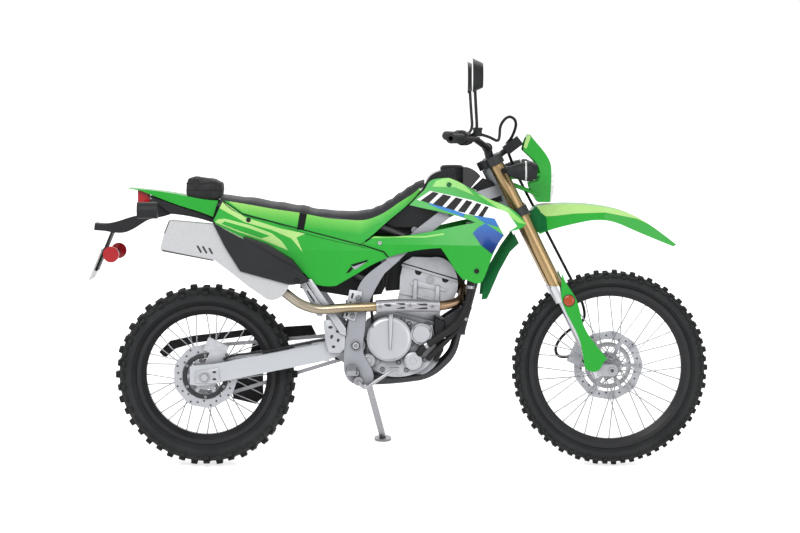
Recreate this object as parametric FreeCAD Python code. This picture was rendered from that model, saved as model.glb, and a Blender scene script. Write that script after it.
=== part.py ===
import FreeCAD, Part
import math
import os

V = FreeCAD.Vector

# Modelled upright: X forward, Y to the rider's left, Z up, millimetres, floor at Z = 0.
# At the end every piece is leaned to the left on the side stand and set on the floor.

# Whole machine
WHEELBASE = 1380.0
FRONT_RADIUS = 336.0
REAR_RADIUS = 312.0
REAR_OVERHANG = 397.0
REAR_AXLE_X = -(WHEELBASE + FRONT_RADIUS - REAR_OVERHANG) / 2
FRONT_AXLE_X = REAR_AXLE_X + WHEELBASE
LEAN_ANGLE = 10.0
LINE_OFFSET = -206.0
OVERRUN = 60.0
FIT = 0.3

# Wheels
FRONT_WIDTH = 80.0
REAR_WIDTH = 110.0
FRONT_FLANGE_RADIUS = 277.0
REAR_FLANGE_RADIUS = 238.0
FLANGE_HEIGHT = 11.0
FLANGE_WALL = 2.5
RIM_DEPTH = 21.0
RIM_WALL = 3.0
FRONT_BEAD = 38.0
REAR_BEAD = 55.0
RIM_WELL_SHARE = 0.42
TREAD_SHARE = 0.80
CROWN_DROP_SHARE = 0.22
LUG_HEIGHT = 11.0
SPOKE_COUNT = 36
SPOKE_RADIUS = 1.9
SPOKE_SWEEP = 62.0
HUB_RADIUS = 24.0
HUB_FLANGE_RADIUS = 34.0
HUB_FLANGE_WALL = 6.0
HUB_FLANGE_OFFSET = 33.0
HUB_HALF = 65.0
BEARING_GAP = 1.0
AXLE_RADIUS = 10.0
AXLE_BORE = 7.0

# Brakes and sprocket
DISC_WALL = 3.5
FRONT_DISC_RADIUS = 120.0
REAR_DISC_RADIUS = 110.0
DISC_BAND = 30.0
DISC_WAVES = 9
DISC_WAVE_DEPTH = 3.5
DISC_PLANE = 62.0
CARRIER_RADIUS = 46.0
CARRIER_ARM = 13.0
CARRIER_ARMS = 6
PAD_GAP = 3.0
CALIPER_OUT = 12.0
SPROCKET_TEETH = 45
FRONT_SPROCKET_TEETH = 14
CHAIN_PITCH = 12.7
CHAIN_WIDTH = 15.0
CHAIN_HEIGHT = 12.0
SPROCKET_WALL = 6.0
CHAIN_PLANE = HUB_HALF + SPROCKET_WALL / 2
SPROCKET_CLEAR = 1.2
SPROCKET_RING = 22.0
REAR_SPROCKET_RADIUS = CHAIN_PITCH / math.sin(math.pi / SPROCKET_TEETH) / 2
FRONT_SPROCKET_RADIUS = CHAIN_PITCH / math.sin(math.pi / FRONT_SPROCKET_TEETH) / 2
DRIVE_X = -72.0
DRIVE_Z = 425.0

# Steering and fork
RAKE = 26.2
HEAD_X = 405.5
HEAD_Z = 824.8
FORK_OFFSET = 22.0
FORK_HALF = 96.0
UPPER_TUBE_RADIUS = 24.5
INNER_TUBE_RADIUS = 18.5
UPPER_TOP_Z = 1031.0
SEAL_TOP_Z = 624.0
SEAL_LOW_Z = 572.0
SEAL_RADIUS = 27.5
LUG_TOP_Z = 402.0
LUG_HALF = 20.0
CLAMP_LOW_Z = 862.0
CLAMP_HIGH_Z = 1036.0
CLAMP_WALL = 30.0
CLAMP_REACH = 36.0
HEAD_TUBE_RADIUS = 29.0
HEAD_GAP = 2.0
STEM_RADIUS = 15.0

# Handlebar
BAR_RADIUS = 11.0
BAR_BORE = 8.0
BAR_HALF = 400.0
BAR_CENTRE_X = 300.0
BAR_CENTRE_Z = 1088.0
BAR_RISE = 36.0
BAR_SWEEP = 132.0
BAR_FLAT = 75.0
BAR_SHOULDER = 150.0
BAR_KNEE_BACK_SHARE = 0.35
BAR_KNEE_RISE_SHARE = 0.9
BAR_BORE_DEPTH = 60.0
GRIP_LENGTH = 122.0
GRIP_RADIUS = 16.5
SWITCH_RADIUS = 23.0
SWITCH_LENGTH = 46.0

# Engine
CASE_HALF = 78.0
COVER_OUT = 42.0
CLUTCH_X = -34.0
CLUTCH_Z = 443.0
CLUTCH_RADIUS = 71.0
FILTER_X = 74.0
FILTER_Z = 460.0
FILTER_RADIUS = 29.0
CRANK_X = 48.0
CRANK_Z = 405.0
STATOR_RADIUS = 62.0
PLUG_X = -102.0
PLUG_Z = 372.0
PLUG_RADIUS = 18.0
CYLINDER_HALF = 62.0
HEAD_HALF = 66.0
FIN_GAP = 6.0

# Frame
BEAM_HALF_HEIGHT = 19.0
BEAM_WALL = 27.0
PLATE_INNER = 114.0
PLATE_WALL = 16.0
DOWN_TUBE_RADIUS = 19.0
CRADLE_RADIUS = 13.0
RAIL_RADIUS = 11.0
PIVOT_X = -147.0
PIVOT_Z = 420.0
PIVOT_RADIUS = 15.0

# Swingarm
ARM_INNER = 84.0
ARM_WALL = 26.0
ARM_PIVOT_RADIUS = 30.0
ARM_END = 60.0

# Bodywork
PANEL_WALL = 3.0
PANEL_GAP = 3.0

# Side stand
STAND_X = -116.0
STAND_Y = 152.0
STAND_Z = 296.0
STAND_FOOT_X = -58.0
STAND_FOOT_Y = 286.0
STAND_TUBE = 11.5
STAND_PAD = 30.0
STAND_PAD_WALL = 8.0
STAND_STOW_SHARES = (-0.98, 0.10, 0.17)
KNUCKLE_HALF = 14.0
KNUCKLE_RADIUS = 15.0


def mirrored(shape):
    return shape.mirror(V(0, 0, 0), V(0, 1, 0))


def both(shape):
    return Part.makeCompound([shape, mirrored(shape)])


def fused(shapes):
    whole = shapes[0].fuse(shapes[1:]) if len(shapes) > 1 else shapes[0]
    whole = whole.removeSplitter()
    return whole.Solids[0] if len(whole.Solids) == 1 else whole


def placed(anchor, size, share):
    return (anchor[0] + share[0] * size, anchor[1] + share[1] * size)


def outline(anchor, size, run_shares):
    # Each run goes on from the last point: one point is a straight edge, more are a curve.
    edges = []
    last = V(0, 0, 0)
    x, z = placed(anchor, size, run_shares[-1][-1])
    last = V(x, 0, z)
    for run in run_shares:
        points = [last]
        for share in run:
            x, z = placed(anchor, size, share)
            points.append(V(x, 0, z))
        if len(points) == 2:
            edges.append(Part.LineSegment(points[0], points[1]).toShape())
        else:
            curve = Part.BSplineCurve()
            curve.interpolate(points)
            edges.append(curve.toShape())
        last = points[-1]
    return Part.Wire(edges)


def slab(wire, low, high):
    face = Part.Face(wire)
    face.translate(V(0, low, 0))
    return face.extrude(V(0, high - low, 0))


def polygon(points, low, high):
    corners = [V(x, 0, z) for x, z in points]
    return slab(Part.makePolygon(corners + corners[:1]), low, high)


def spread(levels, wall, front_cut, rear_cut):
    # A curved panel for the left side: plan lines at several heights, joined by a loft.
    wires = []
    for z, line in levels:
        outer = [V(x, y, z) for x, y in line]
        inner = [V(x, y - wall, z) for x, y in reversed(line)]
        edges = []
        for points in (outer, inner):
            curve = Part.BSplineCurve()
            curve.interpolate(points)
            edges.append(curve.toShape())
        edges.insert(1, Part.LineSegment(outer[-1], inner[0]).toShape())
        edges.append(Part.LineSegment(inner[-1], outer[0]).toShape())
        wires.append(Part.Wire(edges))
    return Part.makeLoft(wires, True, True)


def rod(start, end, radius):
    return Part.makeCylinder(radius, (end - start).Length, start, end - start)


def disc_between(x, z, low, high, radius):
    return Part.makeCylinder(radius, high - low, V(x, low, z), V(0, 1, 0))


def route(points, bends):
    # Straight runs joined by tangent arcs; bends holds one radius for each inner point.
    edges = []
    start = points[0]
    for index in range(1, len(points) - 1):
        before = (points[index - 1] - points[index]).normalize()
        after = (points[index + 1] - points[index]).normalize()
        half_turn = (math.pi - before.getAngle(after)) / 2
        radius = bends[index - 1]
        cut_back = radius * math.tan(half_turn)
        enter = points[index] + before * cut_back
        leave = points[index] + after * cut_back
        middle = points[index] + (before + after).normalize() * (radius / math.cos(half_turn) - radius)
        edges.append(Part.LineSegment(start, enter).toShape())
        edges.append(Part.Arc(enter, middle, leave).toShape())
        start = leave
    edges.append(Part.LineSegment(start, points[-1]).toShape())
    return Part.Wire(edges)


def widest_bends(points, share):
    bends = []
    for index in range(1, len(points) - 1):
        before = points[index - 1] - points[index]
        after = points[index + 1] - points[index]
        half_turn = (math.pi - before.getAngle(after)) / 2
        bends.append(share * min(before.Length, after.Length) / math.tan(half_turn))
    return bends


def tube(points, radius, share):
    path = route(points, widest_bends(points, share))
    ring = Part.Wire(Part.makeCircle(radius, points[0], points[1] - points[0]))
    return path.makePipeShell([ring], True, False)


def steering_point(height):
    return V(HEAD_X - (height - HEAD_Z) * math.tan(math.radians(RAKE)), 0, height)


def steering_axis():
    return V(-math.sin(math.radians(RAKE)), 0, math.cos(math.radians(RAKE)))


def steering_forward():
    return V(math.cos(math.radians(RAKE)), 0, math.sin(math.radians(RAKE)))


def fork_point(height, side):
    base = steering_point(height)
    step = FORK_OFFSET / math.cos(math.radians(RAKE))
    return V(base.x + step, side * FORK_HALF, height)


# Wheels

def ring_profile(points, x, z):
    corners = [V(x + radius, y, z) for radius, y in points]
    face = Part.Face(Part.makePolygon(corners + corners[:1]))
    return face.revolve(V(x, 0, z), V(0, 1, 0), 360)


def tyre(x, radius, width, flange, bead):
    seat = flange - FLANGE_HEIGHT
    shoulder = radius - CROWN_DROP_SHARE * width
    belly = (flange + shoulder) / 2
    half = bead / 2 - FIT
    tread = TREAD_SHARE * width / 2
    clear = flange + FIT
    z = radius
    corner = [V(x + r, y, z) for r, y in ((seat, -half), (clear, -half), (belly, -width / 2), (shoulder, -tread))]
    crown = V(x + radius, 0, z)
    other = [V(p.x, -p.y, p.z) for p in reversed(corner)]
    edges = [Part.LineSegment(corner[0], corner[1]).toShape(),
             Part.Arc(corner[1], corner[2], corner[3]).toShape(),
             Part.Arc(corner[3], crown, other[0]).toShape(),
             Part.Arc(other[0], other[1], other[2]).toShape(),
             Part.LineSegment(other[2], other[3]).toShape(),
             Part.LineSegment(other[3], corner[0]).toShape()]
    return Part.Face(Part.Wire(edges)).revolve(V(x, 0, z), V(0, 1, 0), 360)


def rim(x, z, flange, bead):
    seat = flange - FLANGE_HEIGHT
    inner = flange - RIM_DEPTH - FLANGE_HEIGHT
    half = bead / 2
    out = half + FLANGE_WALL
    well = RIM_WELL_SHARE * half
    points = [(seat, -half), (flange, -half), (flange, -out), (seat - RIM_WALL, -out), (inner, -well),
              (inner, well), (seat - RIM_WALL, out), (flange, out), (flange, half), (seat, half)]
    return ring_profile(points, x, z)


def hub_and_spokes(x, z, flange):
    inner = flange - RIM_DEPTH - FLANGE_HEIGHT
    barrel = disc_between(x, z, -HUB_HALF, HUB_HALF, HUB_RADIUS)
    pieces = [barrel]
    for side in (-1, 1):
        middle = side * HUB_FLANGE_OFFSET
        pieces.append(disc_between(x, z, middle - HUB_FLANGE_WALL / 2, middle + HUB_FLANGE_WALL / 2, HUB_FLANGE_RADIUS))
    spokes = []
    for index in range(SPOKE_COUNT):
        side = 1 if index % 2 else -1
        lead = SPOKE_SWEEP if (index // 2) % 2 else -SPOKE_SWEEP
        turn = math.radians(index * 360.0 / SPOKE_COUNT)
        foot_turn = turn + math.radians(lead)
        foot_radius = HUB_FLANGE_RADIUS - HUB_FLANGE_WALL / 2
        part_side = 1 if lead > 0 else -1
        foot_y = side * HUB_FLANGE_OFFSET + part_side * HUB_FLANGE_WALL / 2
        tip_y = side * SPOKE_RADIUS * 1.6 + part_side * SPOKE_RADIUS * 1.1
        foot = V(x + foot_radius * math.cos(foot_turn), foot_y, z + foot_radius * math.sin(foot_turn))
        reach = inner - FIT
        tip = V(x + reach * math.cos(turn), tip_y, z + reach * math.sin(turn))
        spokes.append(rod(foot, tip, SPOKE_RADIUS))
    whole = fused(pieces + spokes)
    bore = disc_between(x, z, -HUB_HALF - OVERRUN, HUB_HALF + OVERRUN, AXLE_RADIUS + FIT)
    return whole.cut(bore).Solids[0]


def wave_ring(x, z, low, high, radius, waves, depth):
    points = []
    steps = waves * 4
    for index in range(steps):
        turn = index * math.tau / steps
        reach = radius - depth / 2 + depth / 2 * math.cos(waves * turn)
        points.append(V(x + reach * math.cos(turn), 0, z + reach * math.sin(turn)))
    curve = Part.BSplineCurve()
    curve.interpolate(Points=points, PeriodicFlag=True)
    return slab(Part.Wire(curve.toShape()), low, high)


def brake_disc(x, z, low, high, radius):
    outer = wave_ring(x, z, low, high, radius, DISC_WAVES, DISC_WAVE_DEPTH)
    hole = disc_between(x, z, low - OVERRUN, high + OVERRUN, radius - DISC_BAND)
    ring = outer.cut(hole)
    carrier = disc_between(x, z, low, high, CARRIER_RADIUS)
    arms = []
    for index in range(CARRIER_ARMS):
        arm = Part.makeBox(radius - DISC_BAND / 2, high - low, CARRIER_ARM, V(x, low, z - CARRIER_ARM / 2))
        arm.rotate(V(x, 0, z), V(0, 1, 0), index * 360.0 / CARRIER_ARMS)
        arms.append(arm)
    whole = fused([ring, carrier] + arms)
    bore = disc_between(x, z, low - OVERRUN, high + OVERRUN, HUB_RADIUS)
    return whole.cut(bore).Solids[0]


def rear_sprocket():
    x, z = REAR_AXLE_X, REAR_RADIUS
    low = CHAIN_PLANE - SPROCKET_WALL / 2
    high = CHAIN_PLANE + SPROCKET_WALL / 2
    tip = REAR_SPROCKET_RADIUS - CHAIN_HEIGHT / 2 - SPROCKET_CLEAR
    ring = disc_between(x, z, low, high, tip)
    ring = ring.cut(disc_between(x, z, low - OVERRUN, high + OVERRUN, tip - SPROCKET_RING))
    carrier = disc_between(x, z, low, high, CARRIER_RADIUS)
    arms = []
    for index in range(CARRIER_ARMS):
        arm = Part.makeBox(tip - SPROCKET_RING / 2, SPROCKET_WALL, CARRIER_ARM, V(x, low, z - CARRIER_ARM / 2))
        arm.rotate(V(x, 0, z), V(0, 1, 0), index * 360.0 / CARRIER_ARMS)
        arms.append(arm)
    whole = fused([ring, carrier] + arms)
    return whole.cut(disc_between(x, z, low - OVERRUN, high + OVERRUN, AXLE_RADIUS + BEARING_GAP)).Solids[0]


def wheels(nodes):
    for name, x, radius, width, flange, bead in (
            ("front", FRONT_AXLE_X, FRONT_RADIUS, FRONT_WIDTH, FRONT_FLANGE_RADIUS, FRONT_BEAD),
            ("rear", REAR_AXLE_X, REAR_RADIUS, REAR_WIDTH, REAR_FLANGE_RADIUS, REAR_BEAD)):
        nodes[name + "_tyre"] = tyre(x, radius, width, flange, bead)
        nodes[name + "_rim"] = rim(x, radius, flange, bead)
        nodes[name + "_hub_and_spokes"] = hub_and_spokes(x, radius, flange)
    half = HUB_HALF
    nodes["front_brake_disc"] = brake_disc(FRONT_AXLE_X, FRONT_RADIUS, half, half + DISC_WALL, FRONT_DISC_RADIUS)
    nodes["rear_brake_disc"] = brake_disc(REAR_AXLE_X, REAR_RADIUS, -half - DISC_WALL, -half, REAR_DISC_RADIUS)
    nodes["rear_sprocket"] = rear_sprocket()


# Chain: a loop round both sprockets, fixed with the frame

def chain():
    rear = V(REAR_AXLE_X, 0, REAR_RADIUS)
    drive = V(DRIVE_X, 0, DRIVE_Z)

    def loop(grow):
        big = REAR_SPROCKET_RADIUS + grow
        small = FRONT_SPROCKET_RADIUS + grow
        span = drive - rear
        slope = math.atan2(span.z, span.x)
        tilt = math.acos((big - small) / span.Length)
        top = slope + tilt
        low = slope - tilt
        ends = [V(rear.x + big * math.cos(a), 0, rear.z + big * math.sin(a)) for a in (top, low)]
        tips = [V(drive.x + small * math.cos(a), 0, drive.z + small * math.sin(a)) for a in (top, low)]
        back = V(rear.x - big * math.cos(slope), 0, rear.z - big * math.sin(slope))
        front = V(drive.x + small * math.cos(slope), 0, drive.z + small * math.sin(slope))
        return Part.Wire([Part.LineSegment(ends[0], tips[0]).toShape(), Part.Arc(tips[0], front, tips[1]).toShape(),
                          Part.LineSegment(tips[1], ends[1]).toShape(), Part.Arc(ends[1], back, ends[0]).toShape()])

    low = CHAIN_PLANE - CHAIN_WIDTH / 2
    high = CHAIN_PLANE + CHAIN_WIDTH / 2
    outer = slab(loop(CHAIN_HEIGHT / 2), low, high)
    return outer.cut(slab(loop(-CHAIN_HEIGHT / 2), low - OVERRUN, high + OVERRUN)).Solids[0]


def drive_sprocket():
    tip = FRONT_SPROCKET_RADIUS - CHAIN_HEIGHT / 2
    return disc_between(DRIVE_X, DRIVE_Z, CASE_HALF - FIT - OVERRUN, CHAIN_PLANE + CHAIN_WIDTH / 2, tip)


# Fork, clamps and axle

def fork_leg_piece(top, low, radius, side):
    return rod(fork_point(low, side), fork_point(top, side), radius)


def axle_lug(side):
    low = FRONT_RADIUS - LUG_HALF
    sleeve = fork_leg_piece(LUG_TOP_Z, low, INNER_TUBE_RADIUS + FIT + PANEL_WALL, side)
    inner = side * (HUB_HALF + DISC_WALL + BEARING_GAP + HUB_FLANGE_WALL)
    outer = side * (FORK_HALF + INNER_TUBE_RADIUS + PANEL_WALL)
    near = min(inner, outer)
    far = max(inner, outer)
    boss = disc_between(FRONT_AXLE_X, FRONT_RADIUS, near, far, LUG_HALF)
    base = fork_point(FRONT_RADIUS, side)
    web = Part.makeBox(FRONT_AXLE_X - base.x, abs(outer - inner), LUG_HALF + LUG_HALF, V(base.x, near, low))
    return fused([sleeve, boss, web])


def fork(nodes):
    uppers = []
    lowers = []
    for side in (-1, 1):
        outer = fork_leg_piece(UPPER_TOP_Z, SEAL_TOP_Z, UPPER_TUBE_RADIUS, side)
        seal = fork_leg_piece(SEAL_TOP_Z, SEAL_LOW_Z, SEAL_RADIUS, side)
        uppers.append(fused([outer, seal]))
        tube_part = fork_leg_piece(SEAL_LOW_Z, LUG_TOP_Z, INNER_TUBE_RADIUS, side)
        lowers.append(fused([tube_part, axle_lug(side)]))
    axle = disc_between(FRONT_AXLE_X, FRONT_RADIUS, -FORK_HALF - SEAL_RADIUS, FORK_HALF + SEAL_RADIUS, AXLE_RADIUS)
    bore = disc_between(FRONT_AXLE_X, FRONT_RADIUS, -FORK_HALF - OVERRUN, FORK_HALF + OVERRUN, AXLE_BORE)
    nodes["fork_outer_tubes"] = Part.makeCompound(uppers)
    nodes["fork_lowers"] = Part.makeCompound([lower.cut(axle).Solids[0] for lower in lowers])
    nodes["front_axle"] = axle.cut(bore)


def clamp(height, wall, tube_radius):
    centre = steering_point(height)
    tilt = FreeCAD.Placement(centre, FreeCAD.Rotation(V(0, 1, 0), -RAKE))
    reach = tube_radius + PANEL_WALL + PANEL_WALL
    bar = Part.makeBox(reach + reach, FORK_HALF + FORK_HALF, wall, V(FORK_OFFSET - reach, -FORK_HALF, -wall / 2))
    pieces = [bar, Part.makeCylinder(CLAMP_REACH, wall, V(0, 0, -wall / 2))]
    for side in (-1, 1):
        pieces.append(Part.makeCylinder(reach, wall, V(FORK_OFFSET, side * FORK_HALF, -wall / 2)))
    whole = fused(pieces)
    for side in (-1, 1):
        hole = Part.makeCylinder(tube_radius, wall + OVERRUN, V(FORK_OFFSET, side * FORK_HALF, -(wall + OVERRUN) / 2))
        whole = whole.cut(hole)
    whole.Placement = tilt
    return whole


def triple_clamps(nodes):
    low = clamp(CLAMP_LOW_Z, CLAMP_WALL, UPPER_TUBE_RADIUS)
    high = clamp(CLAMP_HIGH_Z, CLAMP_WALL, UPPER_TUBE_RADIUS)
    stem = rod(steering_point(CLAMP_LOW_Z), steering_point(CLAMP_HIGH_Z), STEM_RADIUS)
    axis = steering_axis()
    bar_centre = V(BAR_CENTRE_X, 0, BAR_CENTRE_Z)
    risers = []
    for side in (-1, 1):
        base = steering_point(CLAMP_HIGH_Z) + steering_forward() * (FORK_OFFSET / 2) + V(0, side * BAR_FLAT * 0.4, 0)
        top = bar_centre + V(0, side * BAR_FLAT * 0.4, 0)
        risers.append(rod(base, top, BAR_RADIUS + PANEL_WALL))
        grip = Part.makeCylinder(BAR_RADIUS + PANEL_WALL + PANEL_WALL, CLAMP_WALL, top - V(0, CLAMP_WALL / 2, 0), V(0, 1, 0))
        risers.append(grip)
    whole = fused([low, high, stem] + risers)
    whole = whole.cut(rod(bar_centre - V(0, BAR_HALF, 0), bar_centre + V(0, BAR_HALF, 0), BAR_RADIUS))
    nodes["triple_clamps"] = whole


# Handlebar and what it carries

def bar_points():
    centre = V(BAR_CENTRE_X, 0, BAR_CENTRE_Z)
    left = [centre + V(0, BAR_FLAT, 0),
            centre + V(-BAR_SWEEP * BAR_KNEE_BACK_SHARE, BAR_SHOULDER, BAR_RISE * BAR_KNEE_RISE_SHARE),
            centre + V(-BAR_SWEEP, BAR_HALF, BAR_RISE)]
    right = [V(p.x, -p.y, p.z) for p in reversed(left)]
    return right + left


def handlebar(nodes):
    points = bar_points()
    outer = tube(points, BAR_RADIUS, 0.25)
    hollow = outer
    for end, knee in ((points[0], points[1]), (points[-1], points[-2])):
        inward = (knee - end).normalize()
        hollow = hollow.cut(rod(end - inward * OVERRUN, end + inward * BAR_BORE_DEPTH, BAR_BORE))
    nodes["handlebar"] = hollow
    grips = []
    for side in (-1, 1):
        end = points[-1] if side == 1 else points[0]
        inward = (points[-2] if side == 1 else points[1]) - end
        inward.normalize()
        grip = rod(end, end + inward * GRIP_LENGTH, GRIP_RADIUS)
        switch_start = end + inward * GRIP_LENGTH
        switch = rod(switch_start, switch_start + inward * SWITCH_LENGTH, SWITCH_RADIUS)
        perch_start = switch_start + inward * SWITCH_LENGTH
        perch = rod(perch_start, perch_start + inward * (SWITCH_LENGTH / 2), SWITCH_RADIUS - PANEL_WALL)
        ahead = V(GRIP_RADIUS + GRIP_RADIUS + BAR_RADIUS, 0, 0)
        lever = tube([perch_start, perch_start + ahead, end + ahead + inward * GRIP_RADIUS], PANEL_WALL + PANEL_WALL, 0.3)
        mouth = rod(end - inward * OVERRUN, end + inward * OVERRUN, BAR_BORE)
        controls = fused([grip, switch, perch, lever]).cut(mouth)
        grips.append(controls.cut(outer))
    nodes["hand_controls"] = Part.makeCompound([g.Solids[0] if len(g.Solids) == 1 else g for g in grips])



# Mirrors, cowl, lamp, meter and front signals

MIRROR_Y = 330.0
MIRROR_FOOT_X = 258.0
MIRROR_Z = 1330.0
MIRROR_WIDTH = 150.0
MIRROR_HEIGHT = 112.0
MIRROR_DEPTH = 34.0
MIRROR_STEM = 5.0

COWL_REAR_X = 441.0
COWL_LOW_Z = 891.0
COWL_HEIGHT = 242.0
COWL_HALF = 112.0
LAMP_HALF = 88.0

METER_X = 386.0
METER_Z = 1096.0
METER_WIDTH = 96.0
METER_LENGTH = 62.0
METER_DEPTH = 34.0
METER_ARM_Y = 26.0
COWL_ARM = 6.0
COWL_ARMS = ((975.0, 470.0, 78.0, 930.0), (985.0, 486.0, 92.0, 1000.0))

SIGNAL_HALF = 190.0
SIGNAL_RADIUS = 34.0
SIGNAL_X = 400.0
SIGNAL_Z = 1012.0
SIGNAL_LENGTH = 98.0
SIGNAL_STEM = 9.0

def front_outline(low, high, low_half, belly_half, top_half, x_low, x_high):
    belly = low + (high - low) * 0.62
    corners = [V(x_low, -low_half, low), V(x_low, low_half, low), V(x_low, belly_half, belly),
               V(x_low, top_half, high), V(x_low, -top_half, high), V(x_low, -belly_half, belly)]
    face = Part.Face(Part.makePolygon(corners + corners[:1]))
    return face.extrude(V(x_high - x_low, 0, 0))


def headlight_cowl(nodes):
    anchor = (COWL_REAR_X, COWL_LOW_Z)
    top = COWL_LOW_Z + COWL_HEIGHT
    reach = COWL_REAR_X + COWL_HEIGHT
    rear = COWL_REAR_X - COWL_HEIGHT
    side = slab(outline(anchor, COWL_HEIGHT, COWL_SHARES), -COWL_HALF, COWL_HALF)
    mask = front_outline(COWL_LOW_Z, top, COWL_HALF * 0.62, COWL_HALF, COWL_HALF * 0.5, rear, reach)
    whole = side.common(mask)
    core = slab(outline(anchor, COWL_HEIGHT, COWL_CORE_SHARES), -COWL_HALF, COWL_HALF)
    inner = front_outline(COWL_LOW_Z + PANEL_WALL * 2, top - PANEL_WALL * 2, COWL_HALF * 0.62 - PANEL_WALL * 2,
                          COWL_HALF - PANEL_WALL * 2, COWL_HALF * 0.5 - PANEL_WALL * 2, rear, reach)
    cowl = whole.cut(core.common(inner))
    lamp_anchor = (COWL_REAR_X, COWL_LOW_Z)
    lamp_side = slab(outline(lamp_anchor, COWL_HEIGHT, LAMP_SHARES), -LAMP_HALF, LAMP_HALF)
    lamp_mask = front_outline(COWL_LOW_Z + PANEL_WALL * 3, COWL_LOW_Z + COWL_HEIGHT * 0.58, LAMP_HALF * 0.62,
                              LAMP_HALF, LAMP_HALF * 0.8, rear, reach)
    lamp = lamp_side.common(lamp_mask)
    nodes["headlamp"] = lamp
    arms = []
    for fork_z, x, y, z in COWL_ARMS:
        arm = rod(fork_point(fork_z, 1), V(x, y, z), COWL_ARM)
        arm = arm.cut(fork_leg_piece(UPPER_TOP_Z, SEAL_TOP_Z, UPPER_TUBE_RADIUS, 1))
        arm = max(arm.Solids, key=lambda solid: solid.Volume)
        arms += [arm, mirrored(arm)]
    cowl = fused([cowl.cut(lamp).Solids[0]] + arms).cut(lamp)
    nodes["headlight_cowl"] = max(cowl.Solids, key=lambda solid: solid.Volume)


COWL_SHARES = (
    ((0.029, 0.207), (0.122, 0.055)),
    ((0.290, 0.055),),
    ((0.300, 0.28), (0.298, 0.545)),
    ((0.281, 0.616), (0.170, 0.802), (0.012, 1.0)),
    ((-0.017, 1.0),),
    ((-0.058, 0.913), (-0.087, 0.781)),
    ((0.0, 0.702), (0.083, 0.616), (0.141, 0.492), (0.112, 0.347)),
    ((0.0, 0.318),),
)
COWL_CORE_SHARES = (
    ((0.02, 0.207), (0.10, 0.07)),
    ((0.265, 0.075),),
    ((0.272, 0.28), (0.27, 0.535)),
    ((0.255, 0.60), (0.15, 0.775), (0.0, 0.96)),
    ((-0.6, 0.9),),
    ((-0.6, 0.0),),
    ((-0.1, 0.1),),
)
LAMP_SHARES = (
    ((0.20, 0.06),),
    ((0.31, 0.06),),
    ((0.345, 0.28), (0.335, 0.52)),
    ((0.29, 0.56),),
    ((0.20, 0.56),),
)


def mirrors(controls, bar):
    end = bar_points()[-1]
    inward = (bar_points()[-2] - end).normalize()
    root = end + inward * (GRIP_LENGTH + SWITCH_LENGTH + SWITCH_LENGTH / 4)
    foot = V(MIRROR_FOOT_X, MIRROR_Y - SWITCH_LENGTH, BAR_CENTRE_Z + BAR_RISE + SWITCH_RADIUS)
    knee = V(MIRROR_FOOT_X - MIRROR_STEM, MIRROR_Y - SWITCH_LENGTH / 2, MIRROR_Z - MIRROR_HEIGHT)
    tip = V(MIRROR_FOOT_X - MIRROR_DEPTH / 3, MIRROR_Y, MIRROR_Z)
    stem = tube([root, foot, knee, tip], MIRROR_STEM, 0.4).cut(controls).cut(bar)
    stem = max(stem.Solids, key=lambda solid: solid.Volume)
    centre = V(MIRROR_FOOT_X - MIRROR_DEPTH / 2, MIRROR_Y, MIRROR_Z)
    ring = Part.Ellipse(V(0, 0, 0), MIRROR_WIDTH / 2, MIRROR_HEIGHT / 2).toShape()
    back = Part.Ellipse(V(0, 0, MIRROR_DEPTH), MIRROR_WIDTH * 0.36, MIRROR_HEIGHT * 0.36).toShape()
    shell = Part.makeLoft([Part.Wire(ring), Part.Wire(back)], True)
    shell.rotate(V(0, 0, 0), V(0, 0, 1), 90)
    shell.rotate(V(0, 0, 0), V(0, 1, 0), 90)
    shell.translate(centre)
    return both(fused([shell, stem]))


def signal_body(start, length, radius):
    # A tapered lamp body along X, widest at the lens.
    shares = ((0.0, 0.0), (0.0, 0.42), (0.30, 0.78), (0.66, 1.0), (0.80, 1.0), (1.0, 0.72), (1.0, 0.0))
    corners = [V(start.x + x * length, start.y, start.z + r * radius) for x, r in shares]
    face = Part.Face(Part.makePolygon(corners + corners[:1]))
    return face.revolve(start, V(1, 0, 0), 360)


def front_fittings(nodes):
    headlight_cowl(nodes)
    nodes["mirrors"] = mirrors(nodes["hand_controls"], nodes["handlebar"])
    meter = Part.makeBox(METER_DEPTH, METER_WIDTH, METER_LENGTH, V(-METER_DEPTH / 2, -METER_WIDTH / 2, -METER_LENGTH / 2))
    meter.rotate(V(0, 0, 0), V(0, 1, 0), RAKE + RAKE)
    meter.translate(V(METER_X, 0, METER_Z))
    arms = []
    for side in (-1, 1):
        start = steering_point(CLAMP_HIGH_Z) + steering_forward() * FORK_OFFSET + V(0, side * METER_ARM_Y, 0)
        arms.append(rod(start, V(METER_X, side * METER_ARM_Y, METER_Z), SIGNAL_STEM))
    meter = fused([meter] + arms).cut(nodes["triple_clamps"])
    nodes["meter"] = max(meter.Solids, key=lambda solid: solid.Volume)
    body = signal_body(V(SIGNAL_X - SIGNAL_LENGTH * 0.38, SIGNAL_HALF, SIGNAL_Z), SIGNAL_LENGTH, SIGNAL_RADIUS)
    stem = rod(fork_point(SIGNAL_Z, 1), V(SIGNAL_X, SIGNAL_HALF, SIGNAL_Z), SIGNAL_STEM)
    signal = fused([body, stem]).cut(fork_leg_piece(UPPER_TOP_Z, SEAL_TOP_Z, UPPER_TUBE_RADIUS, 1))
    nodes["front_signals"] = both(max(signal.Solids, key=lambda solid: solid.Volume))


# Front fender, fork guards and front caliper

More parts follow.
